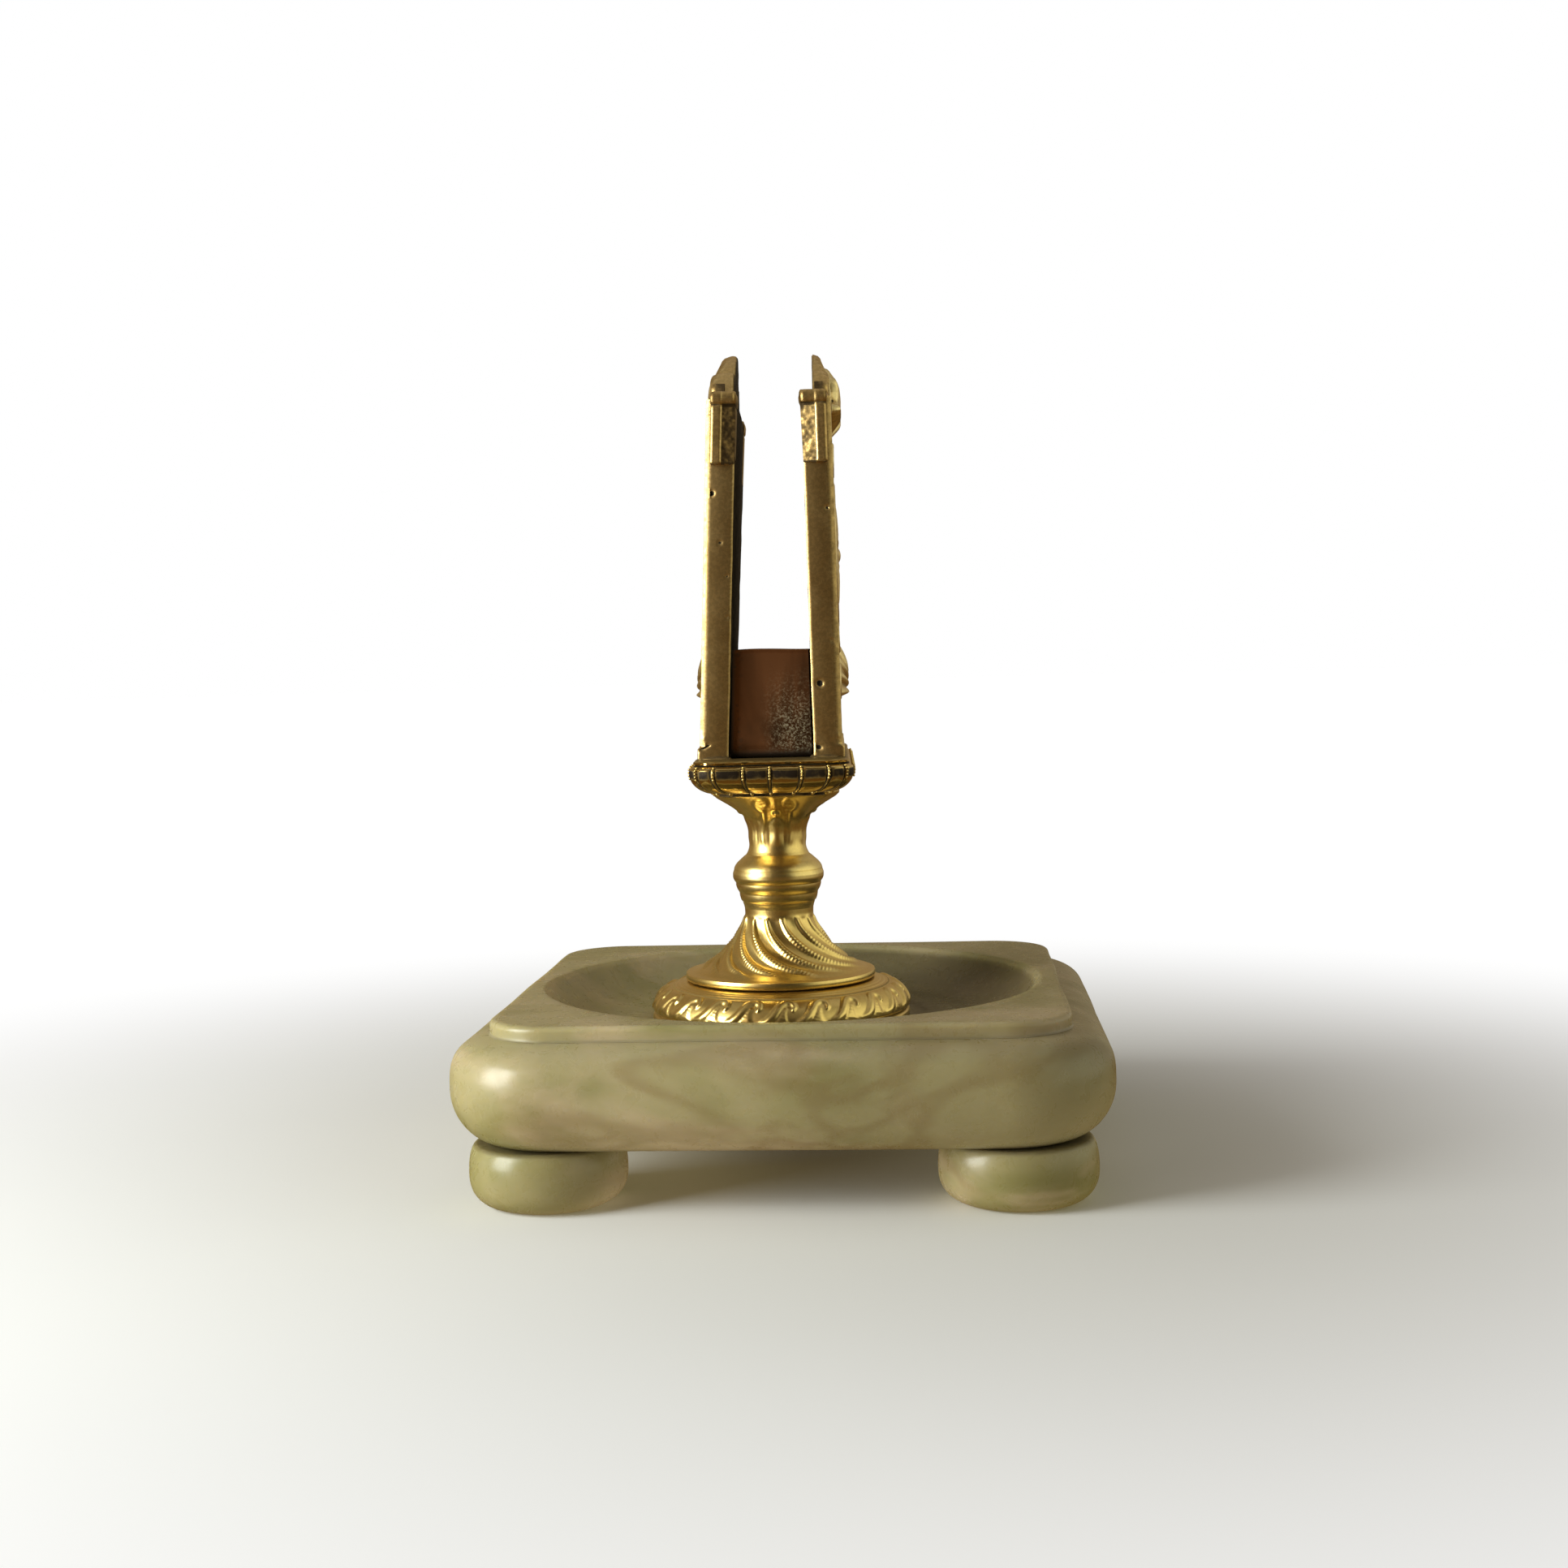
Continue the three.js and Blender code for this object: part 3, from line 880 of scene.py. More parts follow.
@dataclass(frozen=True)
class CopperSheet:
    """Thin copper with a brown skin, black pits, painted black shadow where its grime is set, and a bloom of
    pale verdigris.
    """

    name: str = "copper_sheet_patina"
    red: Colour = (0.235, 0.098, 0.038)
    brown: Colour = (0.12, 0.06, 0.027)
    bloom: Colour = (0.36, 0.33, 0.22)

    def build(self, skin: bpy.types.NodeTree) -> bpy.types.Material:
        """Makes the material.

        Args:
            skin: The group for the skin of a casting.

        Returns:
            The material.
        """
        material, s, shader = new_material(self.name)
        at = s.place()
        cloud = s.noise(s.place(stretch=(1, 1, 0.5)), 85.0, 3.0, 0.6, 0.55)
        colour = s.mix(s.span(cloud, 0.36, 0.66), self.brown, self.red)
        across = s.node("SeparateXYZ", {0: at})
        right = s.span(across.outputs["X"], -0.004, 0.003)
        low = s.span(across.outputs["Z"], 0.098, 0.084)
        specks = s.span(s.noise(at, 2300.0, 3.0, 0.4, 0.8), 0.44, 0.66)
        corner = s.math("MULTIPLY", s.math("MULTIPLY", right, low), specks)
        colour = s.mix(s.math("MULTIPLY", corner, 0.75), colour, self.bloom)
        left = s.span(across.outputs["X"], -0.0050, -0.0085)
        pits = s.span(s.node("TexVoronoi", {"Vector": at, "Scale": 800.0}).outputs["Distance"], 0.42, 0.22)
        pits = s.math("MULTIPLY", s.math("MULTIPLY", pits, left),
            s.span(s.noise(at, 330.0, 2.0), 0.38, 0.50))
        # Near black where the grime attribute is set, which on the pocket is painted shadow in its gaps; the
        # Voronoi pits are black pits in the copper.
        grime = s.math("MAXIMUM", s.math("MULTIPLY", pits, 0.9), s.attribute("grime"))
        colour = s.mix(grime, colour, (0.012, 0.007, 0.004))
        rough = s.math("ADD", s.span(cloud, 0.3, 0.7, 0.30, 0.48), s.math("MULTIPLY", corner, 0.3),
            clamp=True)
        metal = s.span(s.math("MAXIMUM", corner, grime), 0.0, 1.0, 0.9, 0.25)
        cast = s.group(skin, grain=0.35, lumps=0.3, pits=0.4)
        bump = s.node("Bump", {"Strength": 0.22, "Distance": 0.0001, "Height": cast.outputs["Height"]})
        for label, socket in (
            ("Base Color", colour), ("Roughness", rough), ("Metallic", metal), ("Normal", bump.outputs[0])
        ):
            s.tree.links.new(socket, shader.inputs[label])
        return material


@dataclass(frozen=True)
class Fibre:
    """Pressed red fibre, as washers are cut from."""

    name: str = "red_fibre"
    red: Colour = (0.11, 0.028, 0.018)
    pale: Colour = (0.19, 0.07, 0.045)

    def build(self) -> bpy.types.Material:
        """Makes the material.

        Returns:
            The material.
        """
        material, s, shader = new_material(self.name)
        threads = s.noise(s.place(stretch=(1, 5, 1)), 900.0, 4.0, 0.8, 0.7)
        s.tree.links.new(s.mix(s.span(threads, 0.35, 0.7), self.red, self.pale),
            shader.inputs["Base Color"])
        s.tree.links.new(s.span(threads, 0.3, 0.7, 0.75, 0.95), shader.inputs["Roughness"])
        bump = s.node("Bump", {"Strength": 0.3, "Distance": 0.0001, "Height": threads})
        s.tree.links.new(bump.outputs[0], shader.inputs["Normal"])
        return material


@dataclass
class Finishes:
    """Every finish of the object, made once."""

    def __post_init__(self) -> None:
        """Builds the shared groups and the materials."""
        old, skin = tarnish_group(), cast_skin_group()
        gold, deep, brown = (0.84, 0.665, 0.28), (0.78, 0.575, 0.20), (0.18, 0.10, 0.030)
        self.onyx = Onyx().build()
        self.gilt = OldMetal(
            "gilt_brass_soft", bright=gold, middle=deep, dark=brown,
            age=0.6, satin=0.30, grain=0.12, lumps=0.3, pits=0.0, bump=0.03, speckle=0.04,
        ).build(old, skin)
        # The tray's finish: its near-black Dark colour paints the dark reflection on the lobes as well as
        # tarnish in the hollows.
        self.polished = OldMetal(
            "gilt_brass_polished", bright=(0.80, 0.60, 0.25), middle=(0.62, 0.44, 0.15),
            dark=(0.020, 0.011, 0.004),
            age=1.0, satin=0.15, grain=0.1, lumps=0.3, pits=0.0, bump=0.05, speckle=0.05,
        ).build(old, skin)
        # The plates' finish: its near-black Dark colour is tarnish, and on the inner faces painted shade as
        # well.
        self.cast = OldMetal(
            "cast_brass_satin", bright=(0.84, 0.68, 0.34), middle=(0.60, 0.42, 0.17),
            dark=(0.022, 0.015, 0.008),
            age=1.0, satin=0.36, grain=0.8, lumps=0.35, pits=0.5, bump=0.10, depth=0.0001, speckle=0.10,
        ).build(old, skin)
        self.rough = OldMetal(
            "cast_brass_as_cast", bright=(0.74, 0.54, 0.23), middle=(0.50, 0.34, 0.13),
            dark=(0.04, 0.022, 0.008),
            age=0.9, satin=0.42, grain=0.7, lumps=0.8, pits=0.3, bump=0.22, depth=0.00015, speckle=0.15,
        ).build(old, skin)
        self.steel = OldMetal(
            "old_steel", bright=(0.42, 0.41, 0.39), middle=(0.27, 0.25, 0.23), dark=(0.09, 0.045, 0.02),
            age=0.9, satin=0.38, grain=0.7, lumps=0.4, pits=0.5, bump=0.3, depth=0.0001, speckle=0.2,
        ).build(old, skin)
        self.copper = CopperSheet().build(skin)
        self.fibre = Fibre().build()


# ---------------------------------------------------------------- the onyx


def rounded_square(half_x: float, half_y: float, radius: float, per_side: int, per_corner: int) -> Points:
    """Points round a rectangle with round corners, anticlockwise from the middle of its +X side.

    Args:
        half_x: Half its length along X.
        half_y: Half its length along Y.
        radius: Its corners' radius.
        per_side: Points along each straight side.
        per_corner: Points round each corner.

    Returns:
        Two numbers for each point.
    """
    radius = max(radius, 0.05)
    points: list[Points] = []
    for quarter in range(4):
        first, out = (half_y, half_x) if quarter % 2 == 0 else (half_x, half_y)
        straight = np.linspace(-(first - radius), first - radius, per_side, endpoint=False)
        side = np.stack([np.full(per_side, out), straight], 1)
        angle = np.arange(per_corner) / per_corner * math.pi / 2
        corner = np.stack([out - radius + radius * np.cos(angle), first - radius + radius * np.sin(angle)],
            1)
        turn = quarter * math.pi / 2
        spin = np.array([[math.cos(turn), math.sin(turn)], [-math.sin(turn), math.cos(turn)]])
        points.append(np.vstack([side, corner]) @ spin)
    return np.vstack(points)


FOOT_X, FOOT_Y = 42.4, 40.4  # how far the feet stand from the dish's middle


@dataclass
class OnyxDish:
    """The square block with bulged sides, a raised panel, a round bowl and the stem's bore."""

    half_x: float = 60.0
    half_y: float = 59.0
    corner: float = 20.0
    bottom: float = 11.4
    middle: float = 21.4
    half_height: float = 10.0
    lower_inset: float = 9.2
    upper_inset: float = 17.3
    shoulder_power: float = 3.3
    panel_inset: float = 7.6
    panel_top: float = 33.7
    panel_edge: float = 1.0
    bowl_radius: float = 48.4
    bowl_floor: float = 26.5
    floor_radius: float = 34.5
    bore: float = 3.7
    counterbore: float = 11.5
    counterbore_top: float = 18.6
    axis_x: float = -2.4

    def side_inset(self, z: Points) -> Points:
        """How far the side stands in from its widest line.

        Args:
            z: Heights.

        Returns:
            Insets in millimetres.
        """
        t = (z - self.middle) / self.half_height
        low = self.lower_inset * (1 - np.sqrt(np.clip(1 - t * t, 0, 1)))
        power = self.shoulder_power
        high = self.upper_inset * (1 - np.clip(1 - np.clip(t, 0, 1) ** power, 0, 1) ** (1 / power))
        return np.where(t < 0, low, high)

    def outline(self, inset: float) -> Points:
        """The block's outline at an inset."""
        return rounded_square(self.half_x - inset, self.half_y - inset, self.corner - inset, 72, 56)

    def circle(self, radius: float, centre: float) -> Points:
        """A round ring whose points lie outwards of the outline's.

        Args:
            radius: The ring's radius.
            centre: Where its middle stands along X.

        Returns:
            Two numbers for each point.
        """
        guide = self.outline(self.panel_inset)
        angle = np.arctan2(guide[:, 1], guide[:, 0])
        return np.stack([centre + radius * np.cos(angle), radius * np.sin(angle)], 1)

    def rings(self) -> list[tuple[Points, float, float]]:
        """The rings from the underside round the outside, over the panel and down the bowl.

        Returns:
            Each ring's outline, height and grime.
        """
        made: list[tuple[Points, float, float]] = []
        for share in np.linspace(0, 1, 10):
            blend = self.circle(self.counterbore + 0.4, self.axis_x) * (1 - share)
            made.append((blend + self.outline(self.lower_inset + 0.6) * share, self.bottom, 0.25))
        for lift in np.linspace(0, math.pi / 2, 26)[1:]:
            z = self.middle - self.half_height * math.cos(lift)
            made.append((self.outline(float(self.side_inset(np.array(z)))), z, 0.55
                * float(ease(12.8, 11.5, z))))
        for t in np.concatenate([np.linspace(0.05, 0.8, 18), np.linspace(0.83, 0.95, 8)]):
            z = self.middle + self.half_height * t
            made.append((self.outline(float(self.side_inset(np.array(z)))), z, 0.04
                * float(ease(0.9, 0.96, t))))
        foot = self.middle + self.half_height * 0.955
        made += [(self.outline(self.panel_inset - 0.25), foot, 0.3),
            (self.outline(self.panel_inset - 0.05), foot + 0.15, 0.35)]
        edge, power = self.panel_edge, 2.0
        for z in (foot + 0.5, foot + 1.1, self.panel_top - edge):
            made.append((self.outline(self.panel_inset), z, 0.0))
        for lift in np.linspace(0, math.pi / 2, 9)[1:]:
            inset = self.panel_inset + edge * (1 - math.cos(lift) ** (2 / power))
            made.append((self.outline(inset), self.panel_top - edge * (1 - math.sin(lift)), 0.0))
        rim = self.circle(self.bowl_radius + 0.7, 0)
        inner = self.outline(self.panel_inset + edge)
        for share in np.linspace(0, 1, 9)[1:]:
            made.append((inner * (1 - share) + rim * share, self.panel_top, 0.0))
        depth, run = self.panel_top - self.bowl_floor, self.bowl_radius - self.floor_radius
        arc = (run * run + depth * depth) / (2 * depth)
        end = math.asin(run / arc)
        made.append((self.circle(self.bowl_radius + 0.3, 0), self.panel_top - 0.12, 0.0))
        made.append((self.circle(self.bowl_radius, 0), self.panel_top - 0.42, 0.0))
        for angle in np.linspace(end, 0, 24)[1:]:
            z = self.bowl_floor + arc * (1 - math.cos(angle))
            made.append((self.circle(self.floor_radius + arc * math.sin(angle), 0), z, 0.0))
        for share in np.linspace(0, 1, 9)[1:]:
            radius = self.floor_radius + (self.bore + 0.4 - self.floor_radius) * share
            dirt = float(hump(26.0, 1.6, np.array(radius)))
            made.append((self.circle(radius, self.axis_x * share), self.bowl_floor, dirt))
        top = self.counterbore_top
        made.append((self.circle(self.bore, self.axis_x), self.bowl_floor - 0.4, 0.4))
        made.append((self.circle(self.bore, self.axis_x), top, 0.6))
        made.append((self.circle(self.counterbore, self.axis_x), top, 0.7))
        made.append((self.circle(self.counterbore, self.axis_x), self.bottom + 0.4, 0.5))
        return made

    def build(self, finishes: Finishes) -> None:
        """Makes the dish and puts it on its body.

        Args:
            finishes: The object's finishes.
        """
        rings = self.rings()
        rows = np.stack([np.column_stack([line, np.full(len(line), z)]) for line, z, _ in rings])
        grime = np.repeat(np.array([[dirt] for _, _, dirt in rings]), rows.shape[1], 1)
        feet = [(sx * FOOT_X, sy * FOOT_Y) for sx in (-1, 1) for sy in (-1, 1)]
        for x, y in feet:
            away = np.hypot(rows[..., 0] - x, rows[..., 1] - y)
            grime = np.maximum(grime, 0.6 * hump(13.0, 1.1, away) * (rows[..., 2] < 12.6))
        wave = Unevenness(4).at(rows, 21.0) * 0.22 + Unevenness(5).at(rows, 7.0) * 0.05
        outward = rows[..., :2] / np.maximum(np.hypot(*np.moveaxis(rows[..., :2], -1, 0)), 1)[..., None]
        outer = (np.hypot(rows[..., 0], rows[..., 1]) > 47) & (rows[..., 2] < 33.6) & (rows[..., 2] > 11.5)
        rows[..., :2] += outward * (wave * outer)[..., None]
        rows[..., 2] += np.where(rows[..., 2] > 33.6, Unevenness(6).at(rows, 15.0) * 0.07, 0)
        in_bowl = (np.hypot(rows[..., 0], rows[..., 1]) < self.bowl_radius) & (rows[...,
            2] < self.panel_top)
        # Painted shade, kept as negative relief: in the bowl below its rim, darker towards the right;
        # outside the bowl, the block darker towards its right.
        painted_shade = in_bowl * ease(self.panel_top, self.panel_top - 1.8, rows[..., 2]) * 0.86 * ease(-38.0,
            12.0, rows[..., 0])
        painted_shade = np.where(in_bowl, painted_shade, 0.26 * ease(-8.0, 18.0, rows[..., 0]))
        shell = Shell()
        shell.grid(rows, -painted_shade, grime, round_columns=True, round_rows=True)
        piece("onyx_block", finished(shell.mesh("onyx_block"), sharp=50), Body.DISH, Slot.ONYX,
            finishes.onyx, "onyx_dish")


@dataclass
class BunFeet:
    """Four squashed onyx balls under the corners of the dish."""

    x: float = FOOT_X
    y: float = FOOT_Y
    radius: float = 14.3
    rest: float = 9.2
    neck: float = 12.8
    widest: float = 5.8
    height: float = 11.4

    def profile(self) -> list[tuple[float, float, float]]:
        """Radius, height and grime from the middle of the foot's sole to its top.

        Returns:
            The profile's rings.
        """
        line = [(0.0, 0.0, 0.2), (self.rest * 0.5, 0.0, 0.2), (self.rest - 0.8, 0.0, 0.3)]
        for t in np.linspace(-1, 1, 41):
            reach = self.widest if t < 0 else self.height - self.widest
            z = self.widest + reach * math.sin(t * math.pi / 2)
            share = abs(z - self.widest) / reach
            end = self.rest if t < 0 else self.neck
            radius = end + (self.radius - end) * math.sqrt(max(0.0, 1 - share**2.3))
            line.append((radius, z, 0.8 * float(ease(10.6, 11.3, z)) + 0.25 * float(ease(0.8, 0.0, z))))
        return line + [(self.neck - 1.0, self.height, 1.0), (1.9, self.height, 1.0), (1.9, 4.2, 1.0),
            (0.0, 4.2, 1.0)]

    def build(self, finishes: Finishes) -> None:
        """Makes the four feet, each a little unlike the others."""
        angle = np.linspace(0, FULL_TURN, 96, endpoint=False)
        for index, (side_x, side_y, where) in enumerate(
            ((-1, -1, "front_left"), (1, -1, "front_right"), (-1, 1, "back_left"), (1, 1, "back_right"))
        ):
            line = np.array(self.profile())
            rows = np.stack(
                [np.column_stack([r * np.cos(angle), r * np.sin(angle), np.full(len(angle), z)]) for r, z,
                    _ in line]
            )
            swell = 1 + 0.012 * Unevenness(20 + index).at(rows, 11.0) * (rows[..., 2:3] * 0 + 1)[..., 0]
            rows[..., :2] *= swell[..., None]
            rows += np.array([side_x * self.x, side_y * self.y, 0.0])
            shell = Shell()
            shell.grid(rows, 0.0, line[:, 2:3], round_columns=True)
            name = f"bun_foot_{where}"
            piece(name, finished(shell.mesh(name), sharp=60), Body.DISH, Slot.ONYX, finishes.onyx,
                f"foot_{where}")


# ---------------------------------------------------------------- the turned and cast stem


@dataclass
class Cell:
    """One of several equal wedges of a round piece, standing on a line of (radius, height) knots."""

    copies: int
    columns: int
    line: Points

    def __post_init__(self) -> None:
        """Works out the wedge's plain surface and the way it faces."""
        wedge = FULL_TURN / self.copies
        self.angle = np.linspace(-wedge / 2, wedge / 2, self.columns + 1)[None, :] - math.pi / 2
        self.radius, self.z = self.line[:, :1], self.line[:, 1:2]
        along = np.gradient(self.line, axis=0)
        along /= np.maximum(np.hypot(*along.T), 1e-9)[:, None]
        self.out, self.up = along[:, 1:2], -along[:, :1]
        self.run = np.concatenate([[0], np.cumsum(np.hypot(*np.diff(self.line, axis=0).T))])[:, None]

    @property
    def across(self) -> Points:
        """Angle from the middle of the wedge, in radians."""
        return self.angle + math.pi / 2

    def raised(self, height: Points | float) -> Points:
        """The wedge's points, each moved out of the surface by its height.

        Args:
            height: Heights over the surface.

        Returns:
            Three numbers for each point.
        """
        height = np.broadcast_to(height, (len(self.line), self.columns + 1))
        radius = self.radius + self.out * height
        z = self.z + self.up * height
        return np.stack([radius * np.cos(self.angle), radius * np.sin(self.angle), z], -1)


def fine_line(knots: Sequence[tuple[float, float]], step: float, smooth: bool = False) -> Points:
    """Points at even steps along a line of (radius, height) knots.

    Args:
        knots: The line's knots.
        step: Distance between points.
        smooth: Whether the line is rounded at its knots.

    Returns:
        Two numbers for each point, with each knot among them unless smooth.
    """
    knots_ = np.array(knots, float)
    if smooth:
        run = np.concatenate([[0], np.cumsum(np.hypot(*np.diff(knots_, axis=0).T))])
        at = np.linspace(0, run[-1], max(2, round(run[-1] / step)) + 1)
        return np.stack([through(list(zip(run, knots_[:, k])), at) for k in (0, 1)], 1)
    out = [knots_[:1]]
    for a, b in zip(knots_[:-1], knots_[1:]):
        count = max(1, round(math.hypot(*(b - a)) / step))
        out.append(a + (b - a) * (np.arange(1, count + 1) / count)[:, None])
    return np.vstack(out)


@dataclass
class Stem:
    """What the stem's pieces share: where their axis stands and how far the holder is turned."""

    axis_x: float = -2.4
    turn: float = math.radians(2.7)
    bore: float = 3.2

    def placed(self, points: Points) -> Points:
        """Points of the turned holder in the part's frame.

        Args:
            points: Positions in millimetres.

        Returns:
            Three numbers for each point.
        """
        c, s = math.cos(self.turn), math.sin(self.turn)
        x, y = points[..., 0], points[..., 1]
        return np.stack([self.axis_x + c * x - s * y, s * x + c * y, points[..., 2]], -1)


@dataclass
class WaveRing(Stem):
    """The cast ring in the bowl, with waves running round it."""

    copies: int = 23
    outer: float = 25.5
    floor: float = 26.5
    top: float = 34.0
    hole: float = 14.0
    fin_height: float = 0.20
    crest_height: float = 0.46

    def band(self) -> Points:
        """The line of the rounded band that the waves stand on."""
        knots = ((25.05, 28.35), (25.3, 28.8), (25.25, 29.6), (24.75, 30.7), (23.9, 31.8), (22.6, 32.75),
            (21.9, 33.0))
        return fine_line(knots, 0.15, smooth=True)

    def wave(self, across: Points, up: Points) -> tuple[Points, Points]:
        """One wave's relief.

        Args:
            across: Place along the band in wave lengths.
            up: Place up the band from 0 to 1.

        Returns:
            The height in millimetres, and how far points stand out or lie in.
        """
        length, tall = 6.8, 5.9
        fin = np.array([(0.06, 0.03), (0.24, 0.16), (0.40, 0.36), (0.52, 0.58), (0.64, 0.72), (0.70, 0.60),
                        (0.66, 0.42), (0.68, 0.24), (0.80, 0.10), (0.94, 0.03)])
        hook = np.array([(-0.30, 0.10), (-0.08, 0.12), (0.12, 0.20), (0.28, 0.36), (0.40, 0.56),
            (0.50, 0.74), (0.62, 0.86),
                         (0.76, 0.88), (0.87, 0.78), (0.90, 0.64), (0.84, 0.55)])
        height = np.zeros(np.broadcast(across, up).shape)
        for shift in (-1, 0, 1):
            x, y = (across + shift) * length, up * tall
            x, y = np.broadcast_arrays(x, y)
            inside = inside_of(x, y, fin * (length, tall))
            body = self.fin_height * ease(-0.12, 0.55, inside)
            hatch = 0.05 * np.sin(FULL_TURN * (y + 0.25 * x) / 0.62) * ease(0.1, 0.35, inside)
            away, along = distance_to_line(x, y, hook * (length, tall))
            wide = 0.30 + 0.62 * np.sin(np.pi * np.clip(along, 0, 1)) ** 0.8
            ridge = self.crest_height * np.clip(1 - (away / wide) ** 2, 0, 1) ** 0.8 * ease(0.0, 0.3, along)
            height = np.maximum(height, np.maximum(body + hatch, ridge * (1 - 0.2 * along)))
        height = softened_round(height, 2)
        return height, wear_of(height, 2.0, 10)

    def build(self, finishes: Finishes, ring: bpy.types.NodeTree) -> None:
        """Makes the ring from one wave repeated round it.

        Args:
            finishes: The object's finishes.
            ring: The tree that repeats a cell round the axis.
        """
        band = self.band()
        below = fine_line(((24.9, 26.5), (25.35, 26.75), (25.5, 27.15), (25.45, 27.6), (25.1, 27.95),
            (24.7, 28.1), (24.75, 28.25)), 0.22)
        above = fine_line(((21.6, 32.95), (21.4, 33.15), (21.0, 33.3), (20.7, 33.3), (20.55, 33.45),
            (20.2, 33.6),
                           (19.9, 33.58), (19.75, 33.72), (19.3, 33.85), (18.8, 34.0), (17.0, 34.0),
                           (14.0, 34.0)), 0.3)
        inside = np.array([(14.0, 30.0), (14.0, 26.5), (19.0, 26.5)])
        line = np.vstack([below, band, above, inside, below[:1]])
        cell = Cell(self.copies, 44, line)
        start, count = len(below), len(band)
        height = np.zeros((len(line), 45))
        relief = np.zeros_like(height)
        along = (cell.across * self.copies / FULL_TURN + 0.5) % 1.0001
        up = np.linspace(0, 1, count)[:, None]
        wave, wear = self.wave(along, up)
        fade = ease(0, 0.04, up) * ease(1, 0.97, up)
        height[start : start + count] = wave * fade
        relief[start : start + count] = wear * fade
        groove = hump(28.2, 0.22, line[:, 1:2]) * (line[:, :1] > 23) + hump(33.2, 0.15,
            line[:, 1:2]) * (line[:, :1] > 21)
        relief = np.where(relief == 0, -groove, relief)
        shell = Shell()
        shell.grid(cell.raised(height), relief, 0.9 * (line[:, :1] > 24.6) * ease(27.0, 26.5, line[:, 1:2]))
        mesh = grown(ring, shell.mesh("wave_cell"), "running_wave_ring", finishes.gilt, count=self.copies,
                     axis_x=self.axis_x * MM, turn=math.radians(4.0), seam=0.01 * MM)
        piece("running_wave_ring", finished(mesh, sharp=42, merge=0.01), Body.DISH, Slot.GILT,
            finishes.gilt, "wave_ring")


@dataclass
class SpiralFoot(Stem):
    """The trumpet foot: a thin disc, and roped ridges that twist down to it."""

    copies: int = 14
    ridge_height: float = 0.52
    ridge_width: float = 0.74
    rope_step: float = 0.72

    def trumpet(self) -> Points:
        """The line from the disc's top up to the waist."""
        knots = ((16.9, 36.02), (16.2, 36.35), (14.6, 37.0), (12.9, 37.95), (10.9, 39.7), (9.5, 41.3),
            (8.3, 43.0),
                 (7.4, 44.6), (6.95, 46.0), (6.75, 47.2), (6.8, FOOT_TOP))
        return fine_line(knots, 0.2, smooth=True)

    def ridges(self, cell: Cell) -> tuple[Points, Points]:
        """The twisting ridges' relief on the trumpet.

        Args:
            cell: The wedge that the relief is on.

        Returns:
            The height in millimetres, and how far points stand out or lie in.
        """
        run, z = cell.run, cell.z
        full = run[-1, 0]
        twist = np.radians(through(((36.0, 79.0), (36.6, 70.0), (37.6, 54.0), (39.5, 35.0), (41.5, 21.0),
            (44.5, 6.0), (47.5, 0.0), (48.3, 0.0)), z))
        step = FULL_TURN / self.copies
        phase = (cell.across - twist + step / 2) % step - step / 2
        slope = np.gradient(twist[:, 0], run[:, 0])[:, None] * cell.radius
        lean = 1 / np.sqrt(1 + slope**2)
        away = phase * cell.radius * lean
        head = ease(46.9, 46.1, z)
        tail = ease(36.25, 37.2, z)
        wide = self.ridge_width * (0.62 + 0.38 * ease(46.5, 40.0, z))
        body = np.clip(1 - (away / (wide * 1.15)) ** 2, 0, 1) ** 0.75
        twist_run = np.cumsum(np.concatenate([[0], np.diff(run[:, 0])])[:, None] / lean, axis=0)
        path = twist_run + phase * cell.radius * slope * lean + 0.35 * away
        rope = 1 + 0.34 * np.cos(FULL_TURN * path / self.rope_step) * ease(45.0, 42.0, z)
        ridge = self.ridge_height * body * rope * head * tail * (0.5 + 0.5 * ease(46.8, 43.0, z))
        gap = step * cell.radius * lean
        hollow = -0.16 * np.cos(np.pi * (np.abs(away) / gap - 0.5)) ** 2 * head * tail * ease(36.4, 38.5, z)
        height = softened_round(ridge + hollow * (full > 0), 1)
        return height, np.clip(wear_of(height, 1.6, 8, True), -1, 1)

    def build(self, finishes: Finishes, ring: bpy.types.NodeTree) -> None:
        """Makes the foot from one ridge repeated round it.

        Args:
            finishes: The object's finishes.
            ring: The tree that repeats a cell round the axis.
        """
        trumpet = self.trumpet()
        disc = fine_line(((self.bore, 34.3), (10.0, 34.3), (18.3, 34.3), (18.6, 34.42), (18.75, 34.7),
            (18.75, 35.3), (18.62, 35.68), (18.3, 35.8), (17.4, 35.86)), 0.5)
        line = np.vstack([disc, trumpet, [(self.bore, FOOT_TOP), (self.bore, 34.3)]])
        cell = Cell(self.copies, 36, line)
        sub = Cell(self.copies, 36, trumpet)
        height, relief = np.zeros((len(line), 37)), np.zeros((len(line), 37))
        start = len(disc)
        height[start : start + len(trumpet)], relief[start : start + len(trumpet)] = self.ridges(sub)
        dirt = 0.8 * (line[:, :1] > 18.2) * ease(34.5, 34.3, line[:, 1:2])
        shell = Shell()
        shell.grid(cell.raised(height), relief, dirt)
        mesh = grown(ring, shell.mesh("ridge_cell"), "spiral_ridged_foot", finishes.gilt, count=self.copies,
                     axis_x=self.axis_x * MM, turn=self.turn + math.radians(5.0), seam=0.01 * MM)
        piece("spiral_ridged_foot", finished(mesh, sharp=42, merge=0.01), Body.HOLDER, Slot.GILT,
            finishes.gilt, "spiral_foot")


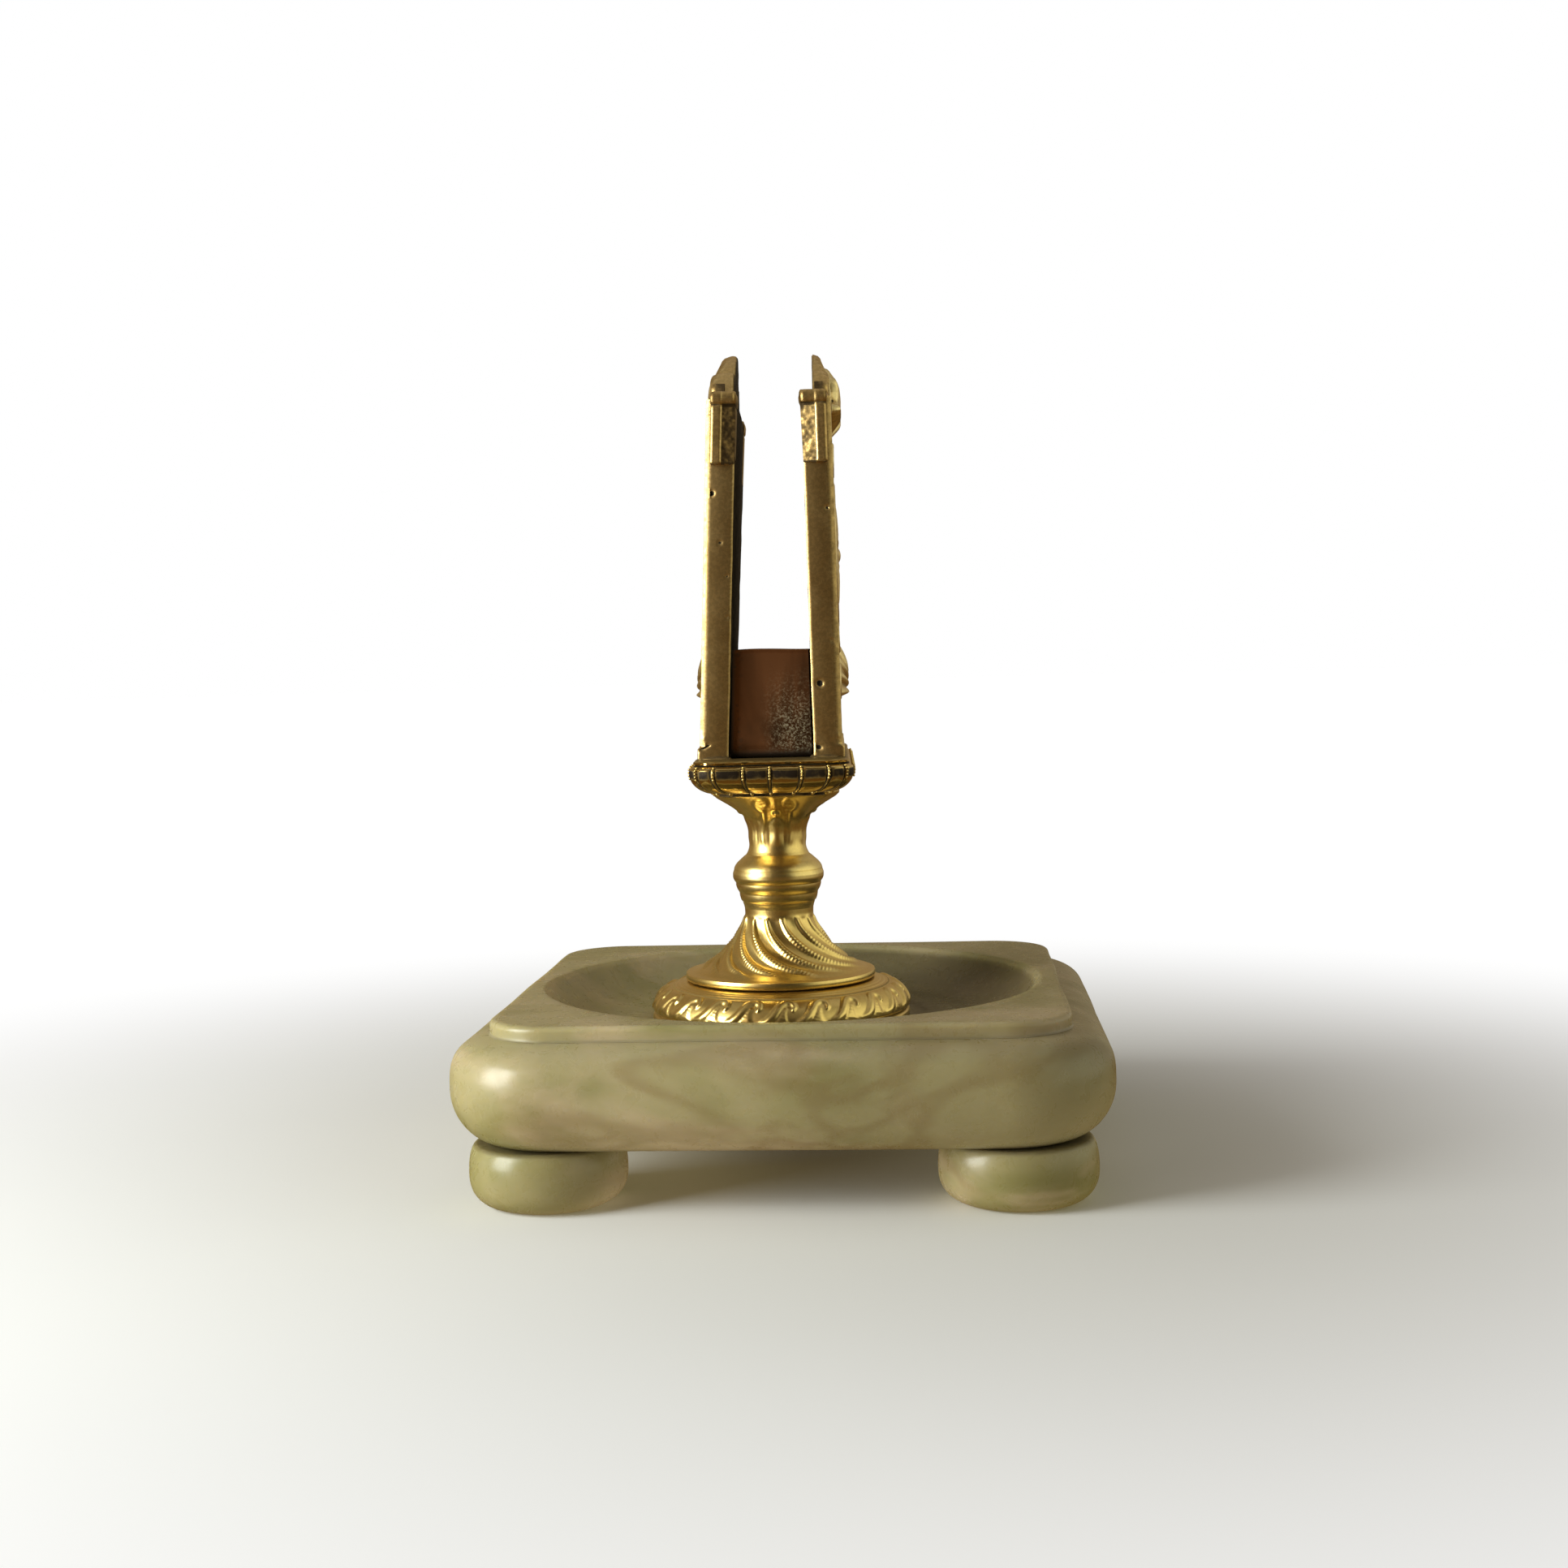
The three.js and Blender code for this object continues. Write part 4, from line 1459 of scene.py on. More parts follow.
@dataclass
class RingedKnop(Stem):
    """The turned knop with its rings, a wedge turned about the stem's axis."""

    copies: int = 128

    def line(self) -> Points:
        """The knop's line from its bore round the outside and back.

        Returns:
            Two numbers for each point.
        """
        knots = [(6.8, FOOT_TOP), (6.95, 48.8), (7.1, 49.25), (7.12, 49.42), (7.38, 49.7), (7.6, 50.3),
            (7.72, 50.9),
                 (7.74, 51.2), (7.82, 51.4), (8.12, 51.9), (8.35, 52.5), (8.42, 53.0), (8.42, 53.25),
                 (8.55, 53.4),
                 (8.82, 53.85), (8.98, 54.4), (8.98, 54.95), (8.84, 55.5), (8.74, 55.75), (8.72, 56.0),
                 (8.5, 56.55), (8.05, 57.15), (7.35, 57.8), (6.75, 58.35), (6.35, 58.65), (6.2, KNOP_TOP)]
        outside = fine_line(knots, 0.12, smooth=True)
        return np.vstack([[(self.bore, FOOT_TOP)], outside, [(self.bore, KNOP_TOP), (self.bore, FOOT_TOP)]])

    def build(self, finishes: Finishes, ring: bpy.types.NodeTree) -> None:
        """Makes the knop.

        Args:
            finishes: The object's finishes.
            ring: The tree that repeats a cell round the axis.
        """
        line = self.line()
        cell = Cell(self.copies, 1, line)
        groove = sum(hump(z, 0.14, line[:, 1:2]) for z in (49.4, 51.25, 53.27, 55.85)) * (line[:, :1] > 5)
        shell = Shell()
        shell.grid(cell.raised(0.0), 0.3 - 0.6 * groove)
        mesh = grown(ring, shell.mesh("knop_wedge"), "turned_knop", finishes.gilt, count=self.copies,
                     axis_x=self.axis_x * MM, turn=self.turn, seam=0.002 * MM)
        piece("turned_knop", finished(mesh, sharp=50), Body.HOLDER, Slot.GILT, finishes.gilt, "ringed_knop")


@dataclass
class AcanthusNeck(Stem):
    """The neck: leaves that rise from a ring of flutes and curl under the tray's corners."""

    copies: int = 4
    columns: int = 72

    def leaves(self, cell: Cell) -> tuple[Points, Points]:
        """The relief of one quarter, whose leaf stands in its middle.

        Args:
            cell: The wedge that the relief is on.

        Returns:
            The height in millimetres, and how far points stand out or lie in.
        """
        a, z = np.degrees(cell.across), cell.z
        reach = cell.radius
        a, z, reach = np.broadcast_arrays(a, z, reach)
        height = 0.32 * hump(0, 4.5, a) * ease(67.5, 69.5, z)
        low = ease(60.2, 62.2, z)
        tip = 66.4 - 1.5 * np.abs(np.sin(np.radians(a * 4)))
        height = height + 0.15 * low * ease(tip + 0.5, tip - 0.5,
            z) * np.abs(np.cos(np.radians(a * 6))) ** 0.7
        height = height + 0.18 * hump(0, 7.5, a) * low * ease(66.5, 65.5, z)
        for side in (-1, 1):
            eye = scroll((side * 2.55, 69.35), 1.55, 0.35, -90 if side > 0 else 270,
                480 if side > 0 else -300)
            away, along = distance_to_line(np.radians(a) * reach, z, eye)
            height = np.maximum(height, 0.30 * np.clip(1 - (away / 0.50) ** 2, 0, 1) * (1 - 0.2 * along))
            stalk = np.array([(side * 2.7, 60.2), (side * 2.9, 63.0), (side * 2.5, 65.5),
                (side * 2.55, 67.8)])
            away, along = distance_to_line(np.radians(a) * reach, z, stalk)
            height = np.maximum(height, 0.24 * np.clip(1 - (away / 0.7) ** 2, 0, 1) * ease(60.2, 62.0, z))
            corner = np.hypot((np.degrees(np.abs(np.radians(a))) - 45) / 57.3 * reach, z - 70.3)
            height = np.maximum(height, 0.25 * np.clip(1 - (corner / 0.9) ** 2, 0, 1))
        bead = np.hypot(np.radians(a) * reach, z - 67.3)
        height = np.maximum(height, 0.5 * np.sqrt(np.clip(1 - (bead / 0.6) ** 2, 0, 1)))
        height = softened_round(height, 3)
        return height, wear_of(height, 1.3, 8)

    def build(self, finishes: Finishes, ring: bpy.types.NodeTree) -> None:
        """Makes the neck from one quarter repeated.

        Args:
            finishes: The object's finishes.
            ring: The tree that repeats a cell round the axis.
        """
        knots = ((6.2, KNOP_TOP), (5.85, 59.5), (5.6, 60.4), (5.42, 62.2), (5.5, 63.8), (6.05, 65.5),
            (7.1, 67.0), (9.2, 68.7),
                 (11.0, 69.9), (12.2, 70.6))
        line = np.vstack([fine_line(knots, 0.16, smooth=True),
            fine_line(((12.5, 70.75), (12.65, 71.1), (12.6, NECK_TOP)), 0.3),
                          [(self.bore, NECK_TOP), (self.bore, KNOP_TOP), (6.2, KNOP_TOP)]])
        cell = Cell(self.copies, self.columns, line)
        height, relief = self.leaves(cell)
        outside = (line[:, :1] > 5) & (line[:, 1:2] > 59) & (line[:, 1:2] < 71.6)
        height, relief = height * outside, relief * outside
        rows = cell.raised(height)
        spread = ease(66.0, 71.0, line[:, 1:2]) * (line[:, :1] > 5)
        turn = np.abs(np.sin(2 * cell.across))
        rows[..., :2] *= (1 + spread * 0.16 * turn**1.5 - 0.04 * spread)[..., None]
        shell = Shell()
        shell.grid(rows, relief - 0.2 * spread * (line[:, 1:2] > 70.5))
        mesh = grown(ring, shell.mesh("leaf_quarter"), "leafy_neck", finishes.gilt, count=self.copies,
                     axis_x=self.axis_x * MM, turn=self.turn, seam=0.01 * MM)
        piece("leafy_neck", finished(mesh, sharp=45, merge=0.01), Body.HOLDER, Slot.GILT, finishes.gilt,
            "acanthus_neck")


# ---------------------------------------------------------------- the tray


@dataclass
class GadroonedTray(Stem):
    """The tray on the neck: lobes all round it, with beaded ribs between them."""

    half_x: float = 14.8
    half_y: float = 34.0
    corner: float = 5.0
    lobe: float = 0.34
    end_ribs: tuple[float, ...] = (-10.6, -5.1, -0.2, 5.6, 10.6)
    long_ribs: int = 12
    bead: float = 0.24

    def line(self) -> Points:
        """Inset and height from under the tray to its top.

        Returns:
            Two numbers for each point.
        """
        lower = fine_line(((8.6, NECK_TOP), (5.2, 71.95), (4.85, 72.15), (4.9, 72.45), (4.5, 72.6)), 0.25)
        lobes = fine_line(((4.4, 72.6), (3.0, 73.0), (1.5, 73.75), (0.5, 74.8), (0.05, 76.0), (0.0, 77.0),
            (0.3, 77.7), (0.55, 77.9)), 0.16, smooth=True)
        upper = fine_line(((0.75, 77.95), (0.8, 78.05), (0.55, 78.25), (0.5, 78.6), (0.75, 78.85),
            (1.5, TRAY_TOP), (3.0, TRAY_TOP), (9.0, TRAY_TOP)), 0.25)
        return np.vstack([lower, lobes, upper])

    def around(self, inset: float, count: int = 190) -> tuple[Points, Points, Points]:
        """The tray's outline at an inset, by even steps round its widest line.

        Args:
            inset: How far in from the widest line.
            count: Points on a quarter of the outline.

        Returns:
            The points, the outward directions and the run round the widest line.
        """
        r = self.corner
        corner_run = r * math.pi / 2
        sides = (2 * (self.half_x - r), corner_run, 2 * (self.half_y - r), corner_run)
        total = 2 * sum(sides)
        run = np.arange(count * 4) / (count * 4) * total
        radius = max(r - inset * 0.3, 0.8)
        points, outs = np.zeros((len(run), 2)), np.zeros((len(run), 2))
        start = 0.0
        half_x, half_y = self.half_x, self.half_y
        for index in range(4):
            turn = index * math.pi / 2 - math.pi / 2
            ahead = np.array([-math.sin(turn), math.cos(turn)])
            out = np.array([math.cos(turn), math.sin(turn)])
            reach, width = (half_y, half_x) if index % 2 == 0 else (half_x, half_y)
            length = 2 * (width - r)
            on = (run >= start) & (run < start + length)
            share = (run[on] - start) / length
            flat = width - inset - radius
            points[on] = out * (reach - inset) + ahead * ((2 * share - 1) * flat)[:, None]
            outs[on] = out
            start += length
            on = (run >= start) & (run < start + corner_run)
            angle = (run[on] - start) / corner_run * math.pi / 2
            way = out * np.cos(angle)[:, None] + ahead * np.sin(angle)[:, None]
            points[on] = out * (reach - inset - radius) + ahead * flat + way * radius
            outs[on] = way
            start += corner_run
        return points, outs, run

    def rib_runs(self) -> Points:
        """Where the ribs stand, as runs round the widest line.

        Returns:
            The runs in order.
        """
        short, long = 2 * (self.half_x - self.corner), 2 * (self.half_y - self.corner)
        corner = self.corner * math.pi / 2
        half = short + corner + long + corner
        end = [x + self.half_x - self.corner for x in self.end_ribs]
        side = [short + corner / 2 + (long + corner)
            * (k + 1) / (self.long_ribs + 1) for k in range(self.long_ribs)]
        runs = np.array(end + [short + corner / 2 + 0.3] + side + [half - corner / 2 - 0.3])
        return np.sort(np.concatenate([runs, runs + half]))

    def build(self, finishes: Finishes, beads: bpy.types.NodeTree) -> None:
        """Makes the tray and the beads on its ribs.

        Args:
            finishes: The object's finishes.
            beads: The tree that lays beads along lines.
        """
        line = self.line()
        run = self.around(0.0)[2]
        total = run[-1] + run[1]
        ribs = self.rib_runs() % total
        gap_before = (run[:, None] - ribs[None, :]) % total
        gap_after = (ribs[None, :] - run[:, None]) % total
        before, after = gap_before.min(1), gap_after.min(1)
        share = before / (before + after)
        bulge = (1 - np.abs(2 * share - 1) ** 3.2)
        to_rib = np.minimum(before, after)
        rows, height, wear = [], [], []
        for inset, z in line:
            outline, out, _ = self.around(inset)
            on = float(ease(72.5, 73.1, z) * ease(77.95, 77.5, z))
            lift = on * (self.lobe * bulge + 0.30 * np.clip(1 - (to_rib / 0.22) ** 2, 0, 1))
            rough = Unevenness(31).at(np.column_stack([outline, np.full(len(run), z)]),
                0.9) * 0.16 * float(ease(77.9, 78.2, z))
            steep = float(ease(NECK_TOP, 75.5, z))
            rows.append(np.column_stack([outline + out * ((lift + rough) * (0.35 + 0.65 * steep))[:, None],
                                         np.full(len(run), z) - lift * (1 - steep) * 0.7]))
            height.append(lift + rough)
            dark = -1.3 * hump(0.32, 0.16, to_rib) * on - 0.9 * float(hump(78.0, 0.16, np.array(z))
                + hump(72.3, 0.25, np.array(z)))
            # Painted reflection: the upper middle of each lobe, away from the ribs, is set dark, as the dark
            # room it faces would show in it.
            shade = float(ease(74.8, 76.1, z) * ease(77.5, 77.0, z)) * ease(0.2, 0.9, to_rib)
            wear.append(dark + 0.2 * on - 0.95 * shade)
        relief = np.clip(np.array(wear) + wear_of(np.array(height), 0.8, 4, True), -1, 1)
        relief[0], relief[-1] = -0.6, -0.8
        shell = Shell()
        shell.grid(np.stack(rows), relief, 0.75 * ease(78.5, 79.05, line[:, 1:2]) * np.ones((1, len(run))),
            round_columns=True)
        for index, lift in ((0, NECK_TOP), (-1, TRAY_TOP)):
            ring_points = np.stack(rows)[index]
            hole = self.bore * ring_points[:, :2] / np.hypot(*ring_points[:, :2].T)[:, None]
            shell.grid(np.stack([ring_points, np.column_stack([hole, np.full(len(hole), lift)])]), -0.4,
                0.3, round_columns=True)
        wall = np.stack([np.column_stack([hole, np.full(len(hole), z)]) for z in (NECK_TOP, TRAY_TOP)])
        shell.grid(wall, -0.5, 0.3, round_columns=True)
        shell.points = [self.placed(p) for p in shell.points]
        piece("gadrooned_tray_casting", finished(shell.mesh("gadrooned_tray_casting"), sharp=44),
            Body.HOLDER, Slot.GILT,
              finishes.polished, "gadrooned_tray")
        self.build_beads(finishes, beads, ribs, total)

    def build_beads(self, finishes: Finishes, beads: bpy.types.NodeTree, ribs: Points,
        total: float) -> None:
        """Makes the row of beads on the upper half of each rib, and the one at its foot.

        Args:
            finishes: The object's finishes.
            beads: The tree that lays beads along lines.
            ribs: Where the ribs stand.
            total: The whole run round the tray.
        """
        line = self.line()
        keep = line[(line[:, 1] > 75.4) & (line[:, 1] < 77.75)][::2]
        low = line[(line[:, 1] > 72.6) & (line[:, 1] < 73.0)][:2]
        corners: list[Points] = []
        edges: list[tuple[int, int]] = []
        sizes: list[float] = []
        spots = [(keep, 1.0), (low, 1.5)]
        for rib in ribs:
            for part, width in spots:
                first = len(corners)
                for inset, z in part:
                    outline, out, run = self.around(float(inset))
                    k = int(round(rib / total * len(run))) % len(run)
                    corners.append(np.array([*(outline[k] + out[k] * 0.46), z]))
                    sizes.append(width)
                edges += [(i, i + 1) for i in range(first, len(corners) - 1)]
        mesh = bpy.data.meshes.new("rib_lines")
        mesh.from_pydata((self.placed(np.array(corners)) * MM).tolist(), edges, [])
        mesh.attributes.new("size", "FLOAT", "POINT").data.foreach_set("value", sizes)
        made = grown(beads, mesh, "tray_rib_beads", finishes.gilt, bead_radius=self.bead * MM, spacing=0.47
            * MM)
        for polygon in made.polygons:
            polygon.use_smooth = True
        piece("tray_rib_beads", made, Body.HOLDER, Slot.GILT, finishes.gilt)


# ---------------------------------------------------------------- the side plates


class Side(Enum):
    """The two plates, by the side of the pocket they stand on."""

    LEFT = -1
    RIGHT = 1


@dataclass
class SidePlate(Stem):
    """A cast plate: relief outside, a plain face inside darkened as tarnish and painted shade, ears at both
    ends, a crest.
    """

    side: Side = Side.LEFT
    foot_near: float = 7.8
    foot_far: float = 9.2
    top_near: float = 4.8
    top_far: float = 5.5
    half_length: float = 29.0
    thickness: float = 4.4
    bottom: float = TRAY_TOP
    ear_top: float = 145.9

    def inner_x(self, y: Points, z: Points) -> Points:
        """Distance from the pocket's middle to the inner face.

        Args:
            y: Places along the plate.
            z: Heights.

        Returns:
            Distances in millimetres.
        """
        up = (z - self.bottom) / (self.ear_top - self.bottom)
        along = (y + self.half_length) / (2 * self.half_length)
        near = self.foot_near + (self.top_near - self.foot_near) * up
        far = self.foot_far + (self.top_far - self.foot_far) * up
        return near + (far - near) * along

    def top(self, y: Points) -> Points:
        """Height of the plate's upper edge."""
        knots = ((0.0, 156.0), (3.0, 155.6), (6.5, 153.6), (9.0, 151.0), (11.0, 150.3), (13.2, 151.2),
            (15.4, 149.6),
                 (17.2, 147.0), (18.6, 145.4), (20.4, 145.0), (22.0, 145.0), (29.2, 145.0))
        return through(knots, np.abs(y))

    def relief(self, y: Points, z: Points) -> Points:
        """The height of the ornament on the outer face, in millimetres.

        Args:
            y: Places along the plate.
            z: Heights.

        Returns:
            Heights in millimetres.
        """
        a = np.abs(y)
        top = self.top(y)
        inside = np.minimum(np.minimum(self.half_length - a, z - self.bottom), top - z)
        h = 0.95 * ease(2.6, 1.9, inside) * ease(-0.2, 0.5, inside)
        h = np.maximum(h, 0.55 * np.sqrt(np.clip(1 - ((inside - 3.5) / 0.55) ** 2, 0, 1)))
        oval = np.hypot(y / 15.5, (z - 117) / 13.5)
        h = np.maximum(h, 1.25 * np.sqrt(np.clip(1 - ((oval - 1) / 0.085) ** 2, 0, 1)))
        h = np.maximum(h, 0.8 * np.sqrt(np.clip(1 - ((oval - 0.84) / 0.035) ** 2, 0, 1)))
        dome = 0.75 + 0.75 * np.sqrt(np.clip(1 - (oval / 0.8) ** 2, 0, 1))
        h = np.where(oval < 0.8, np.maximum(h, dome), h)
        around = np.degrees(np.arctan2(y, z - 117.0))
        petal = 0.22 * np.cos(np.radians(around * 16)) * ease(0.22, 0.4, oval) * ease(0.8, 0.66, oval)
        h = h + petal
        h = np.maximum(h, 1.95 * np.sqrt(np.clip(1 - (oval / 0.16) ** 2, 0, 1)))
        fan_x, fan_z = y, z - 90.5
        span, spread = np.hypot(fan_x / 1.25, fan_z), np.degrees(np.arctan2(fan_x / 1.25, fan_z))
        shell_edge = 9.2 + 0.55 * np.cos(np.radians(spread * 360 / 22.5))
        fan = (2.35 * np.sin(np.pi * np.clip(span / 10.5, 0, 1) ** 0.8) + 0.35
            * np.cos(np.radians(spread * 16))) * ease(
            shell_edge + 0.25, shell_edge - 0.35, span
        ) * ease(104, 92, np.abs(spread)) * ease(0.4, 1.8, span)
        h = np.maximum(h, fan)
        strokes = (
            (scroll((12.6, 91.8), 4.4, 0.6, 150, -560), 0.75, 1.35),
            (scroll((20.6, 101.4), 3.4, 0.6, -60, 500), 0.65, 1.2),
            (scroll((20.2, 133.0), 3.8, 0.6, 60, -520), 0.7, 1.25),
            (scroll((13.2, 146.0), 2.9, 0.55, 200, 840), 0.62, 1.25),
            (np.array([(12.5, 96.2), (16.5, 97.8), (18.6, 98.6)]), 0.6, 1.0),
            (np.array([(23.4, 103.0), (24.0, 110.0), (22.6, 117.0), (23.4, 124.0), (23.6, 131.0)]), 0.55,
                0.95),
            (np.array([(18.0, 136.2), (14.8, 139.4), (13.6, 142.6)]), 0.6, 1.05),
            (np.array([(16.4, 87.8), (20.0, 86.6), (24.2, 88.6), (24.8, 92.6)]), 0.6, 1.0),
        )
        for line, wide, tall in strokes:
            away, along = distance_to_line(a, z, line)
            width = wide * (1.0 - 0.45 * along)
            h = np.maximum(h, tall * (1 - 0.25 * along)
                * np.clip(1 - (away / (width * 1.5)) ** 2, 0, 1) ** 0.8)
        leaf_r, leaf_a = np.hypot(y, z - 137.5), np.degrees(np.arctan2(y, z - 137.5))
        leaf_edge = 15.2 * np.abs(np.cos(np.radians(leaf_a))) ** 0.8 + 0.9 * np.cos(np.radians(leaf_a * 14))
        leaf = (0.8 + 1.5 * np.sin(np.pi * np.clip(leaf_r / 17.5, 0, 1) ** 1.2)) * ease(leaf_edge + 0.4,
            leaf_edge - 0.6, leaf_r)
        leaf = (leaf + 0.25 * np.cos(np.radians(leaf_a * 14))) * ease(66, 50, np.abs(leaf_a)) * ease(0.8,
            8.5, leaf_r)
        h = np.maximum(h, leaf * (self.side is Side.RIGHT) * 1.15 + leaf * (self.side is Side.LEFT) * 0.72)
        foot = 1.35 * ease(81.7, 81.0, z) + 0.55 * np.sqrt(np.clip(1 - ((z - 83.0) / 0.6) ** 2, 0, 1))
        h = np.maximum(h, foot)
        thin = 1.7 * ease(149.0, 155.5, z) + 0.4 * ease(154.5, 156, z)
        return h + 0.022 * Unevenness(51).at(np.stack([y, z, 0 * y], -1), 1.4) - thin

    def sheet(self, columns: int, rows: int) -> tuple[Points, Points]:
        """Points over the plate's face, in columns from end to end and rows from foot to top.

        Args:
            columns: Points from end to end.
            rows: Points from foot to top.

        Returns:
            Places along the plate and heights.
        """
        half = self.half_length
        y = np.concatenate([[-half, -half + 0.16], np.linspace(-half + 0.4, half - 0.4, columns - 4),
            [half - 0.16, half]])[None, :]
        share = np.linspace(0, 1, rows)[:, None]
        z = self.bottom + (self.top(y) - self.bottom) * share
        return np.broadcast_arrays(y, z)

    def standing(self, out: Points, y: Points, z: Points) -> Points:
        """Points at a distance out from the inner face, in the part's frame."""
        x = self.side.value * (out + self.inner_x(y, z))
        return self.placed(np.stack(np.broadcast_arrays(x, y, z), -1))

    def faces(self) -> Shell:
        """The plate's body: outer relief, inner face and the worn edges between them.

        Returns:
            The shell.
        """
        y, z = self.sheet(176, 244)
        relief = self.relief(y, z)
        edge_in = np.minimum(np.minimum(self.half_length - np.abs(y), self.top(y) - z), 3.0)
        soft = 0.22 * (1 - np.sqrt(np.clip(1 - (1 - np.clip(edge_in / 0.3, 0, 1)) ** 2, 0, 1)))
        outer = self.thickness + relief - soft
        shell = Shell()
        # Within 0.4 mm of an edge the outer face is set dark as painted shade, against the light the left
        # lamp throws on it; elsewhere raised ornament is rubbed bright and hollows tarnish.
        wear = np.where(edge_in < 0.4, -0.2, wear_of(relief, 2.6, 12) + 0.25)
        shell.grid(self.standing(outer, y, z), np.clip(wear, -1, 1), 0.7 * ease(80.4, TRAY_TOP, z)
            * (edge_in > 0.01))
        inner_lump = 0.07 * Unevenness(52).at(np.stack([y, z, 0 * y], -1), 2.4)
        worn_in = 0.3 * (1 - np.sqrt(np.clip(1 - (1 - np.clip(edge_in / 0.3, 0, 1)) ** 2, 0, 1)))
        set_back = (2.0 if self.side is Side.RIGHT else 0.8) * ease(144.6, 147.2, z)
        inner_lump = inner_lump + set_back * ease(21.5, 19.0, np.abs(y))
        # Away from its edges the inner face is set dark and grimy: tarnish, and painted shade for the shadow
        # it stands in.
        bare = ease(0.35, 0.12, edge_in)
        shell.grid(self.standing(inner_lump + worn_in, y, z), -0.1 * bare - 0.55 * (1 - bare), 1 - bare)
        for column in (0, -1):
            self.strip(shell, outer[:, column], (inner_lump + worn_in)[:, column], y[:, column],
                z[:, column], 14)
        self.strip(shell, outer[-1], (inner_lump + worn_in)[-1], y[-1], z[-1], 14)
        self.strip(shell, outer[0], (inner_lump + worn_in)[0], y[0], z[0], 14)
        return shell

    def strip(self, shell: Shell, outer: Points, inner: Points, y: Points, z: Points, across: int) -> None:
        """Closes the plate between its faces along one edge, slightly crowned and pitted.

        Args:
            shell: The shell that the edge joins.
            outer: The outer face's distances along the edge.
            inner: The inner face's distances along the edge.
            y: Places along the plate.
            z: Heights.
            across: Points from face to face.
        """
        share = np.linspace(0, 1, across)[:, None]
        out = outer[None, :] * (1 - share) + inner[None, :] * share
        yy, zz = np.broadcast_to(y, out.shape), np.broadcast_to(z, out.shape)
        crown = 0.10 * np.sin(np.pi * share)
        pits = self.pits(share * 4.4, zz, yy)
        end = np.ptp(y) < 1.0
        move = (crown - pits) * np.ones_like(out)
        yy = yy + np.sign(yy) * move * end
        zz = zz + move * (not end) * (z[0] > 100)
        dirt = 0.9 * (not end) * (z[0] < 100)
        relief = 0.02 - 3.5 * pits + 0.22 * (hump(0.0, 0.09, share) + hump(1.0, 0.05, share))
        shell.grid(self.standing(out, yy, zz), np.clip(relief, -1, 1), dirt)

    def pits(self, across: Points, z: Points, y: Points) -> Points:
        """Small blow holes in the near edge, as deep as this in millimetres.

        Args:
            across: Places across the edge.
            z: Heights.
            y: Places along the plate.

        Returns:
            Depths in millimetres.
        """
        holes = {
            Side.LEFT: ((0.3, 127.6, 0.45), (2.2, 118.6, 0.28), (3.7, 112.5, 0.22), (4.0, 105.0, 0.2),
                (0.5, 81.4, 0.4)),
            Side.RIGHT: ((3.0, 92.6, 0.5), (3.9, 80.9, 0.42), (0.4, 124.5, 0.3), (0.2, 100.4, 0.25)),
        }[self.side]
        depth = sum(0.55 * (size / 0.45) * hump(0, 1, np.hypot(across - a, z - h) / size) for a, h,
            size in holes)
        return np.where(y < 0, depth, 0.35 * np.roll(depth, 9, axis=-1))

    def ear(self, end: int) -> Shell:
        """An ear at one end: a smooth half, a rough half that slants back, and a cushion on top.

        Args:
            end: -1 for the near end and 1 for the far end.

        Returns:
            The shell.
        """
        half, mid = self.half_length, 2.5
        lean = 0.30 if self.side is Side.RIGHT else 0.05
        section = [(-0.02, -3.2), (-0.02, 0.10), (0.35, 0.28), (mid - 0.25, 1.12), (mid, 1.42),
            (mid + 0.3, 1.5),
                   (self.thickness - 0.35, 1.5), (self.thickness + 0.02, 1.25),
                   (self.thickness + 0.25, -3.2),
                   (self.thickness + 0.3, -8.0), (-0.02, -8.0)]
        base = np.vstack([fine_line(section + section[:1], 0.22)])[:-1]
        levels = [(132.75, 0.30), (132.95, 0.06),
            (133.15, 0.0)] + [(z, 0.0) for z in np.linspace(133.5, 143.0, 40)]
        levels += [(143.3, 0.14), (143.5, 0.12), (143.65, -0.10), (144.0, -0.26), (144.7, -0.30),
            (145.3, -0.16),
                   (145.7, 0.15), (145.88, 0.55), (145.9, 1.3)]
        rows, wear = [], []
        middle = np.array([self.thickness / 2, -3.2])
        for z, inset in levels:
            cap = z > 143.55
            shape = base.copy()
            if cap:
                shape[:, 1] = np.where(shape[:, 1] > -0.1,
                    np.maximum(shape[:, 1], 1.35 - 0.25 * (shape[:, 0] < 0.4)), shape[:, 1])
            away = shape - middle
            shape = shape - away / np.maximum(np.hypot(*away.T), 0.5)[:, None] * inset
            t, stand = shape[:, 0], shape[:, 1]
            y = end * (half + stand)
            rough = Unevenness(60 + end).at(np.stack([t, y, np.full_like(t, z)], -1), 0.55)
            rough = rough + 0.6 * Unevenness(63 + end).at(np.stack([t, y, np.full_like(t, z)], -1), 0.36)
            slanted = (t < mid - 0.1) & (stand > -0.2) & (not cap)
            y = y + end * rough * 0.12 * slanted
            t = t - lean * (z - 133) / 13 * ease(mid, 0.0, t)
            rows.append(self.standing(t, y, np.full_like(t, z)))
            ridge = hump(mid, 0.22, t) * (stand > 0.6)
            # The rough half is darker, as tarnish on the as-cast face and, more on the left ear, as painted
            # shade; the dark lines at 143.4 mm, under the cushion, and at 132.8 mm, at the ear's foot, are
            # painted shadow.
            wear.append(np.where(slanted, (-0.38 if self.side is Side.RIGHT else -0.55) + 0.25 * rough, 0.1
                + 0.5 * ridge) - 1.0 * float(hump(143.42, 0.16, np.array(z))) - 0.9
                * float(hump(132.8, 0.2, np.array(z))))
        shell = Shell()
        shell.grid(np.stack(rows), np.clip(np.array(wear), -1, 1), 0.0, round_columns=True)
        for index in (0, -1):
            shell.cap(rows[index], 0.1)
        return shell

